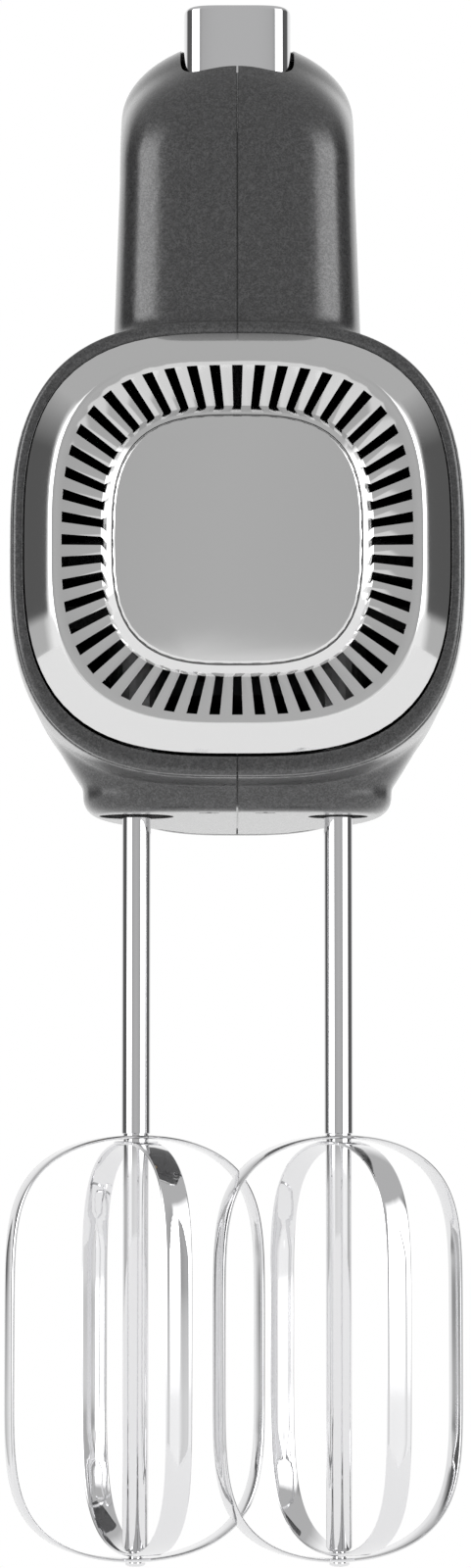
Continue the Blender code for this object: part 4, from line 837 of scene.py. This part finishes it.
def rod(name, radius, start, end, sides=48):
    """A cylinder from one point to another."""
    clear_selection()
    start, end = Vector(start), Vector(end)
    axis = end - start
    bpy.ops.mesh.primitive_cylinder_add(
        vertices=sides,
        radius=radius,
        depth=axis.length,
        location=(start + end) / 2,
        rotation=axis.to_track_quat("Z", "Y").to_euler(),
    )
    bpy.ops.object.transform_apply(location=True, rotation=True, scale=True)
    bpy.context.active_object.name = name
    return bpy.context.active_object


def screw_axis(box):
    return (box[0].y + box[1].y) / 2, (box[0].z + box[1].z) / 2


bore = wrapped(
    "bore",
    96,
    2,
    lambda u, v: spot(
        superellipse(u, GRILLE_HALF_X + 0.0008, GRILLE_HALF_Z, SQUARENESS)[0],
        mix(BARREL_FRONT - 0.004, BARREL_FRONT + LIP_DEPTH + 0.002, v),
        GRILLE_CENTRE + superellipse(u, GRILLE_HALF_X, GRILLE_HALF_Z + 0.0008, SQUARENESS)[1],
    ),
)
hollow = join(
    barrel("barrel_inside", BARREL_FRONT + LIP_DEPTH, BARREL_END + 0.004, WALL, 96, 24),
    belly("belly_inside", WALL, 96, 20),
    handle("handle_inside", WALL, 48),
    bore,
)
hollow.data.remesh_voxel_size = HOLLOW_VOXEL
bpy.ops.object.voxel_remesh()
half_width = BELLY_HALF_HIGH
for box in SCREWS:
    y, z = screw_axis(box)
    cut(hollow, rod("post", POST_RADIUS, (-half_width, y, z), (half_width, y, z)))
seat_low, seat_high = SPRING_SEAT
cut(
    hollow,
    box_piece(
        "seat",
        spot(-PILLAR_HALF, HANDLE_FRONT_FOOT - 0.004, seat_low),
        spot(PILLAR_HALF, GAP_FRONT + 0.004, seat_high),
    ),
)
cut(skin, hollow)
print("shell", len(skin.data.polygons), "faces")

# %% [markdown]
# Then come the openings: the mouth of the eject button, the slot of the speed slider, the cord's
# inlet, the two beater sockets and the counterbores of the screws. A small sunk bar and a dot
# stand on each side of the seam, between the sockets. One socket is wider than the other.

# %% Openings
button_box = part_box("eject_button")
BUTTON_HALF_X = 0.01194
BUTTON_HALF_Y = 0.0130
BUTTON_Y = (button_box[0].y + button_box[1].y) / 2 - SHAFT_Y
BUTTON_TOP = button_box[1].z - UNDERSIDE
BUTTON_GAP = 0.0008
BUTTON_SQUARENESS = 5.0
SLOT_LOW = 0.0217
SLOT_HIGH = 0.0583
SLOT_HALF = 0.0043
SOCKET_RADII = (0.0083, 0.00665)
SLOT_FLOOR = 0.006
STEM_HOLE_HALF_X = 0.0038
STEM_HOLE_HALF_Y = 0.0048
INLET_HOLE = 0.0063
COUNTERBORE = 0.0032
SCREW_HEAD = 0.0020


def prism(name, half_x, half_y, squareness, y, low, high, around=96):
    """An upright block of rounded square outline."""

    def place(u, v):
        x, out = superellipse(u, half_x, half_y, squareness)
        return spot(x, y + out, mix(low, high, v))

    return wrapped(name, around, 2, place)


cut(
    skin,
    prism(
        "button_mouth",
        BUTTON_HALF_X + BUTTON_GAP,
        BUTTON_HALF_Y + BUTTON_GAP,
        BUTTON_SQUARENESS,
        BUTTON_Y,
        GRIP_UNDER,
        HANDLE_TOP + 0.01,
    ),
)
slot_low = spot(-SLOT_HALF, SLOT_LOW, HANDLE_TOP - SLOT_FLOOR)
slot_high = spot(SLOT_HALF, SLOT_HIGH, HANDLE_TOP + 0.004)
cut(skin, box_piece("slider_slot", slot_low, slot_high))
stem_low = spot(-STEM_HOLE_HALF_X, BUTTON_Y - STEM_HOLE_HALF_Y, seat_low - 0.002)
stem_high = spot(STEM_HOLE_HALF_X, BUTTON_Y + STEM_HOLE_HALF_Y, seat_high + 0.002)
cut(skin, box_piece("stem_hole", stem_low, stem_high))
inlet_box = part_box("cord_inlet")
INLET_HEIGHT = (inlet_box[0].z + inlet_box[1].z) / 2 - UNDERSIDE
inlet_start = spot(0.0, 0.1190, INLET_HEIGHT)
inlet_end = spot(0.0, 0.1500, INLET_HEIGHT)
cut(skin, rod("inlet_hole", INLET_HOLE, inlet_start, inlet_end))
for side, radius in zip((-1, 1), SOCKET_RADII):
    socket_low = spot(side * SHAFT_X, 0.0, -0.002)
    socket_high = spot(side * SHAFT_X, 0.0, WALL + 0.002)
    cut(skin, rod("socket", radius, socket_low, socket_high, 96))
for box in SCREWS:
    y, z = screw_axis(box)
    head = box[1].x - SCREW_HEAD
    cut(skin, rod("counterbore", COUNTERBORE, (head, y, z), (half_width + 0.004, y, z)))
MARK_X = 0.0062
MARK_Y = -0.0118
MARK_HALF = 0.0022
MARK_WIDTH = 0.0012
MARK_DEPTH = 0.0005
DOT_RADIUS = 0.0006
for side in (-1, 1):
    x = side * MARK_X
    bar_low = spot(x - MARK_HALF, MARK_Y, -0.001)
    bar_high = spot(x + MARK_HALF, MARK_Y + MARK_WIDTH, MARK_DEPTH)
    cut(skin, box_piece("bar", bar_low, bar_high))
    dot_low = spot(x, MARK_Y - MARK_WIDTH, -0.001)
    dot_high = spot(x, MARK_Y - MARK_WIDTH, MARK_DEPTH)
    cut(skin, rod("dot", DOT_RADIUS, dot_low, dot_high, 24))
print("openings cut, inlet at", round(INLET_HEIGHT, 4), "m above the underside")

# %% [markdown]
# The halves meet in the middle with a hair's breadth between them, and a shallow groove makes
# the joint show as a thin dark line. The groove's cutter is a thin slab, less the shell's own
# shape set in by the groove's depth. What is left of the slab cuts the skin and the rim.

# %% Seam groove
SEAM_WIDTH = 0.0004
SEAM_DEPTH = 0.0010
HALVES_GAP = 0.00004
REACH = 0.3


def seam_slab():
    return box_piece("slab", (-SEAM_WIDTH / 2, -REACH, -REACH), (SEAM_WIDTH / 2, REACH, REACH))


core = join(
    barrel("barrel_core", GROOVE - 0.001, BARREL_END, SEAM_DEPTH, 96, 24),
    belly("belly_core", SEAM_DEPTH, 96, 20),
    handle("handle_core", SEAM_DEPTH, 48),
)
core.data.remesh_voxel_size = HOLLOW_VOXEL
bpy.ops.object.voxel_remesh()
groove = cut(seam_slab(), core)
cut(skin, groove)


def rim_core_place(u, v):
    """The rim's section without the groove's depth at its front and outside."""
    share, y = ((0.0, GROOVE + 0.0060), (0.0, BARREL_FRONT + SEAM_DEPTH),
                (1.0, BARREL_FRONT + SEAM_DEPTH), (1.0, GROOVE + 0.0060))[round(v * 4) % 4]
    bore = superellipse(u, GRILLE_HALF_X - SEAM_DEPTH, GRILLE_HALF_Z - SEAM_DEPTH, SQUARENESS)
    edge = superellipse(u, RIM_HALF_X - SEAM_DEPTH, RIM_HALF_Z - SEAM_DEPTH, SQUARENESS)
    high = mix(GRILLE_CENTRE + bore[1], FRONT_CENTRE + edge[1], share)
    return spot(mix(bore[0], edge[0], share), y, high)


rim_core = wrapped("rim_core", 96, 4, rim_core_place, closed_along=True)
cut(rim, cut(seam_slab(), rim_core))
print("seam groove", SEAM_DEPTH, "m deep")

# %% [markdown]
# A large block keeps one side of the skin and of the rim at a time, which gives the two shells.

# %% Two halves
for side, near, far in (("left", -REACH, 0.0), ("right", HALVES_GAP, REACH)):
    parts = []
    for whole in (skin, rim):
        pick(whole)
        bpy.ops.object.duplicate()
        part = bpy.context.active_object
        cut(part, box_piece("side", (near, -REACH, -REACH), (far, REACH, REACH)), "INTERSECT")
        parts.append(part)
    half = smooth(join(*parts), 40.0)
    dressed(half, f"casing_{side}", PAINT, "gunmetal_paint", "housing", f"housing_{side}")
for whole in (skin, rim):
    bpy.data.objects.remove(whole, do_unlink=True)

# %% [markdown]
# ## Heel cap
# The back of the barrel is a separate cup with a rounded edge. Its flat end is the heel that the
# mixer stands on. It is the barrel's own section run on, drawn in round the edge.

# %% Heel cap
CAP_EDGE = 0.0100
CAP_START = cap_box[0].y - SHAFT_Y


def cap(name, inset, start, around=144):
    radius = CAP_EDGE - inset
    stations = [(start, inset)] + [
        (
            HEEL - inset - radius * (1 - math.sin(angle)),
            inset + radius * (1 - math.cos(angle)),
        )
        for angle in spread(0.0, math.pi / 2, 14)
    ]

    def place(u, v):
        y, drawn = along_profile(stations, v)
        return barrel_point(u, y, drawn)

    return wrapped(name, around, len(stations) - 1, place)


heel = cut(cap("heel_cap", 0.0, CAP_START), cap("cap_inside", WALL, CAP_START - 0.002))
lip_angle = math.radians(50)
apply_modifier(
    heel, "BEVEL", width=0.0002, segments=2, limit_method="ANGLE", angle_limit=lip_angle
)
dressed(smooth(heel, 40.0), "heel_cap", PAINT, "gunmetal_paint", "housing", "rear_cap")


# %% [markdown]
# ## Grille
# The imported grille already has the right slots, but its edges are dead sharp. A copy is merged
# into one skin, its flat triangles are joined, and every edge gets a fine bevel. Pressed and
# plated metal always has such an edge, and it is what catches the light beside each slot.

# %% Copies with softened edges


def copied(node_name, merge=1e-6):
    """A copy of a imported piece, merged into one skin, with flat triangles joined."""
    source = frame["nodes"][node_name]
    piece = bpy.data.objects.new(node_name + "_copy", source.data.copy())
    bpy.context.scene.collection.objects.link(piece)
    pick(piece)
    bpy.ops.object.mode_set(mode="EDIT")
    bpy.ops.mesh.select_all(action="SELECT")
    bpy.ops.mesh.remove_doubles(threshold=merge)
    bpy.ops.mesh.dissolve_limited(angle_limit=math.radians(0.3))
    bpy.ops.object.mode_set(mode="OBJECT")
    return piece


def softened(piece, width, segments=2, degrees=25.0):
    return apply_modifier(
        piece,
        "BEVEL",
        width=width,
        segments=segments,
        limit_method="ANGLE",
        angle_limit=math.radians(degrees),
        use_clamp_overlap=True,
    )


RIDGE_ROUND = 0.0008
bezel = copied("grille_bezel")
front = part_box("grille_bezel")[0].y
bpy.ops.object.mode_set(mode="EDIT")
bpy.ops.mesh.select_mode(type="EDGE")
bpy.ops.mesh.select_all(action="DESELECT")
bpy.ops.object.mode_set(mode="OBJECT")
for edge in bezel.data.edges:
    ends = [bezel.data.vertices[index].co.y for index in edge.vertices]
    edge.select = max(ends) < front + 0.00005
bpy.ops.object.mode_set(mode="EDIT")
bpy.ops.mesh.bevel(offset=RIDGE_ROUND, segments=4, affect="EDGES")
bpy.ops.object.mode_set(mode="OBJECT")
softened(bezel, 0.00016)
dressed(smooth(bezel, 35.0), "grille", SATIN, "satin_metal", "housing", "grille_bezel")
plate = softened(copied("grille_centre_plate"), 0.00020, 3, 35.0)
smooth(plate, 40.0)
dressed(plate, "centre_plate", SATIN, "satin_metal", "housing", "grille_centre_plate")

# %% [markdown]
# ## Eject button
# The button is a plated cap with a flat front, softly rounded corners and a rounded top edge. Its
# corners draw the bright upright lines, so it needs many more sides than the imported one.

# %% Eject button
BUTTON_EDGE = 0.0011
BUTTON_BASE = button_box[0].z - UNDERSIDE


def button_stations():
    stations = [(BUTTON_BASE, 0.0016), (BUTTON_BASE + 0.0024, 0.0016), (BUTTON_BASE + 0.0024, 0.0)]
    for angle in spread(0.0, math.pi / 2, 8):
        rise = BUTTON_EDGE * (1 - math.sin(angle))
        stations.append((BUTTON_TOP - rise, -BUTTON_EDGE * (1 - math.cos(angle))))
    return stations


button_rows = button_stations()


def button_place(u, v):
    height, extra = along_profile(button_rows, v)
    x, out = superellipse(u, BUTTON_HALF_X + extra, BUTTON_HALF_Y + extra, BUTTON_SQUARENESS)
    return spot(x, BUTTON_Y + out, height)


button = wrapped("eject_button", 192, len(button_rows) - 1, button_place)
dressed(smooth(button, 40.0), "eject_cap", STEEL, "satin_metal", "ejector", "eject_button")

# %% [markdown]
# ## Beaters
# Each beater is a plain steel shaft with two closed loops of flat strip riveted across each
# other. The shaft is turned. The loops follow a tall rounded outline, and a shallow crease is
# rolled along the middle of each side to stiffen it.

# %% Shafts
SHAFT_RADIUS = 0.003175
NECK_RADIUS = 0.00285
CAGE_TOP = -0.0712
CAGE_BOTTOM = -0.1640
CAGE_RADIUS = 0.0292
STRIP_HALF = 0.0030
STRIP_THICKNESS = 0.0007
EYE_HALF = 0.0050
RIVET_RADIUS = 0.0014
STACK = STRIP_THICKNESS + 0.0006


def turned(name, profile, x, y, around=64):
    """Turns (radius, height) pairs about an upright axis."""

    def place(u, v):
        radius, height = along_profile(profile, v)
        angle = math.tau * u
        return spot(x + radius * math.sin(angle), y + radius * math.cos(angle), height)

    return wrapped(name, around, len(profile) - 1, place)


def shaft_profile():
    rivet_top = CAGE_BOTTOM - STRIP_THICKNESS / 2 - 0.0003
    inner = CAGE_BOTTOM + STACK + STRIP_THICKNESS / 2 + 0.0003
    collar = CAGE_TOP + STRIP_THICKNESS / 2 + 0.0003
    head = RIVET_RADIUS * 1.6
    points = [(head * 0.6, rivet_top - 0.0008), (head * 0.9, rivet_top - 0.0006)]
    points += [(head, rivet_top - 0.0003), (head, rivet_top), (RIVET_RADIUS, rivet_top)]
    points += [(RIVET_RADIUS, inner), (NECK_RADIUS * 0.8, inner), (NECK_RADIUS, inner + 0.0008)]
    points += [(NECK_RADIUS, collar), (SHAFT_RADIUS - 0.0002, collar), (SHAFT_RADIUS, collar + 0.0002)]
    points += [(SHAFT_RADIUS, 0.0049), (0.0024, 0.0050), (0.0024, 0.0160)]
    points += [(SHAFT_RADIUS, 0.0170), (SHAFT_RADIUS, 0.0335), (SHAFT_RADIUS - 0.0012, 0.0350)]
    return points


# %% [markdown]
# Each loop is a strip swept round a closed outline. It widens to an eye round the shaft at its
# top, and is riveted at its bottom.

# %% Loops
CREASE_DEPTH = 0.0006
CREASE_HALF = 0.0017
CREASE_TOP = -0.0880
CREASE_BOTTOM = -0.1460
CREASE_FADE = 0.010
LOOP_SIDE_SQUARENESS = 2.1
LOOP_END_SQUARENESS = 5.2
OUTLINE_STEPS = 7200


def loop_section(half, depth, crease):
    """(across, out) points round the strip's section. The crease is pressed in from outside."""
    edge = STRIP_THICKNESS / 2
    outer = [(-half, 0.0), (-half + edge * 0.4, edge * 0.75), (-half + edge, edge)]
    outer += [(-crease, edge), (0.0, edge - depth), (crease, edge)]
    outer += [(half - edge, edge), (half - edge * 0.4, edge * 0.75), (half, 0.0)]
    inner = [(half - edge * 0.4, -edge * 0.75), (half - edge, -edge), (crease, -edge)]
    inner += [(0.0, -edge - depth), (-crease, -edge), (-half + edge, -edge)]
    inner += [(-half + edge * 0.4, -edge * 0.75)]
    return outer + inner + outer[:1]


def cage_loop(name, x, angle, shrink, steps=224):
    top, bottom = CAGE_TOP - shrink, CAGE_BOTTOM + shrink
    middle, reach = (top + bottom) / 2, (top - bottom) / 2

    def path(u):
        turn = math.tau * u
        return Vector(
            (
                CAGE_RADIUS * powered(math.sin(turn), 2 / LOOP_SIDE_SQUARENESS),
                middle + reach * powered(math.cos(turn), 2 / LOOP_END_SQUARENESS),
            )
        )

    # The outline is walked in even steps, because its own formula crowds the points at the sides.
    dense = [path(i / OUTLINE_STEPS) for i in range(OUTLINE_STEPS + 1)]
    lengths = [0.0]
    for first, second in zip(dense, dense[1:]):
        lengths.append(lengths[-1] + (second - first).length)
    even = []
    index = 0
    for i in range(steps):
        wanted = lengths[-1] * i / steps
        while lengths[index + 1] < wanted:
            index += 1
        part = (wanted - lengths[index]) / (lengths[index + 1] - lengths[index])
        even.append(dense[index].lerp(dense[index + 1], part))
    turned_frame = Matrix.Rotation(angle, 3, "Z")

    def place(u, v):
        station = round(v * steps) % steps
        here = even[station]
        along = (even[(station + 1) % steps] - even[station - 1]).normalized()
        out = Vector((-along.y, along.x))
        if out.dot(here - Vector((0.0, middle))) < 0:
            out = -out
        half = STRIP_HALF
        if abs(here.x) < EYE_HALF and here.y > middle:
            half = max(half, math.sqrt(EYE_HALF ** 2 - here.x ** 2))
        started = ease(here.y, CREASE_BOTTOM, CREASE_BOTTOM + CREASE_FADE)
        ended = ease(here.y, CREASE_TOP - CREASE_FADE, CREASE_TOP)
        strength = min(started, 1 - ended)
        if abs(here.x) < CAGE_RADIUS * 0.5:
            strength = 0.0
        section = loop_section(half, CREASE_DEPTH * strength, max(CREASE_HALF * strength, 0.0002))
        across, lift = section[round(u * (len(section) - 1))]
        flat_place = Vector((here.x + out.x * lift, across, 0.0))
        turned_place = turned_frame @ flat_place
        return spot(x + turned_place.x, turned_place.y, here.y + out.y * lift)

    loop = wrapped(name, len(loop_section(1, 0, 0.1)) - 1, steps, place, closed_along=True)
    for radius, height in ((NECK_RADIUS + 0.0002, top), (RIVET_RADIUS + 0.0002, bottom)):
        cut(loop, rod("hole", radius, spot(x, 0.0, height - 0.003), spot(x, 0.0, height + 0.003)))
    return loop


LOOP_TURNS = {"left": math.radians(20), "right": math.radians(25)}
for side, x in (("left", -SHAFT_X), ("right", SHAFT_X)):
    body = f"beater_{side}"
    shaft = turned("shaft", shaft_profile(), x, 0.0)
    smooth(shaft, 40.0)
    dressed(shaft, f"shaft_{side}", STEEL, "polished_steel", body, f"beater_shaft_{side}")
    for kind, quarter, shrink in (("wide", 0.0, 0.0), ("cross", math.pi / 2, STACK)):
        strip = cage_loop("loop", x, LOOP_TURNS[side] + quarter, shrink)
        smooth(strip, 50.0)
        name = f"{kind}_loop_{side}"
        dressed(strip, name, STEEL, "polished_steel", body, "beater_" + name)

# %% [markdown]
# ## Small pieces
# The slider is a grooved thumb pad, the inlet a rubber collar, and the screws have domed heads with
# a cross recess.

# %% Speed slider
pad = softened(copied("speed_slider"), 0.0004, 3, 40.0)
slider_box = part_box("speed_slider")
GROOVES = 5
for number in range(GROOVES):
    y = mix(slider_box[0].y + 0.0045, slider_box[1].y - 0.0045, number / (GROOVES - 1))
    low = (-0.0048, y - 0.0005, slider_box[1].z - 0.0005)
    cut(pad, box_piece("groove", low, (0.0048, y + 0.0005, slider_box[1].z + 0.001)))
dressed(smooth(pad, 40.0), "slider_pad", SATIN, "satin_metal", "speed_slider", "speed_slider")

# %% [markdown]
# Five screws hold the shells together from one side. Each is a rounded head with a cross recess.

# %% Screws
for number, box in enumerate(SCREWS, 1):
    y, z = screw_axis(box)
    top = box[1].x
    head = rod("screw", (box[1].y - box[0].y) / 2, (top - 0.0020, y, z), (top, y, z), 40)
    softened(head, 0.0006, 4, 40.0)
    for size in ((0.0016, 0.0003), (0.0003, 0.0016)):
        low = (top - 0.0010, y - size[0], z - size[1])
        cut(head, box_piece("recess", low, (top + 0.0010, y + size[0], z + size[1])))
    body_rod = rod("thread", 0.0015, (box[0].x, y, z), (top - 0.0019, y, z), 24)
    screw = join(head, body_rod)
    smooth(screw, 40.0)
    name = f"screw_{number}"
    dressed(screw, name, STEEL, "polished_steel", "housing", "housing_" + name)

# %% [markdown]
# The inlet is a turned rubber collar with a hole for a cord.

# %% Inlet
inlet_rows = [
    (0.0036, 0.1290),
    (0.0060, 0.1290),
    (0.0060, 0.1396),
    (0.0076, 0.1396),
    (0.0080, 0.1400),
    (0.0078, 0.1420),
    (0.0070, 0.1428),
    (0.0050, 0.1430),
    (0.0040, 0.1428),
    (0.0036, 0.1422),
    (0.0036, 0.1290),
]


def inlet_place(u, v):
    radius, y = along_profile(inlet_rows, v)
    angle = math.tau * u
    return spot(radius * math.sin(angle), y, INLET_HEIGHT + radius * math.cos(angle))


inlet = wrapped("inlet", 64, len(inlet_rows) - 1, inlet_place, closed_along=True)
dressed(smooth(inlet, 40.0), "inlet_collar", BLACK, "black_plastic", "housing", "cord_inlet")

# %% [markdown]
# ## Eject spring
# The spring between its seat and the button is a coil of round wire. It is a tube whose middle
# line is a helix. It rides on the button.

# %% Eject spring
SPRING_TURNS = 5
WIRE_RADIUS = 0.0006
spring_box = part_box("eject_spring")
SPRING_RADIUS = (spring_box[1].x - spring_box[0].x) / 2 - WIRE_RADIUS
SPRING_LOW = spring_box[0].z + WIRE_RADIUS
SPRING_HIGH = spring_box[1].z - WIRE_RADIUS


def spring_place(u, v):
    turn = math.tau * SPRING_TURNS * v
    out = Vector((math.cos(turn), math.sin(turn), 0.0))
    middle = Vector((0.0, SHAFT_Y + BUTTON_Y, mix(SPRING_LOW, SPRING_HIGH, v)))
    around = math.tau * u
    ring = out * math.sin(around) + Vector((0.0, 0.0, 1.0)) * math.cos(around)
    return middle + out * SPRING_RADIUS + ring * WIRE_RADIUS


spring = smooth(wrapped("spring", 12, SPRING_TURNS * 32, spring_place), 50.0)
dressed(spring, "press_spring", MACHINED, "machined_steel", "ejector", "eject_spring")
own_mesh(spring)

# %% [markdown]
# ## Size
# The imported model's box is printed once more.

# %% Print the imported model's box
print("packed", [round(high - low, 4) for low, high in zip(cad_low, cad_high)])
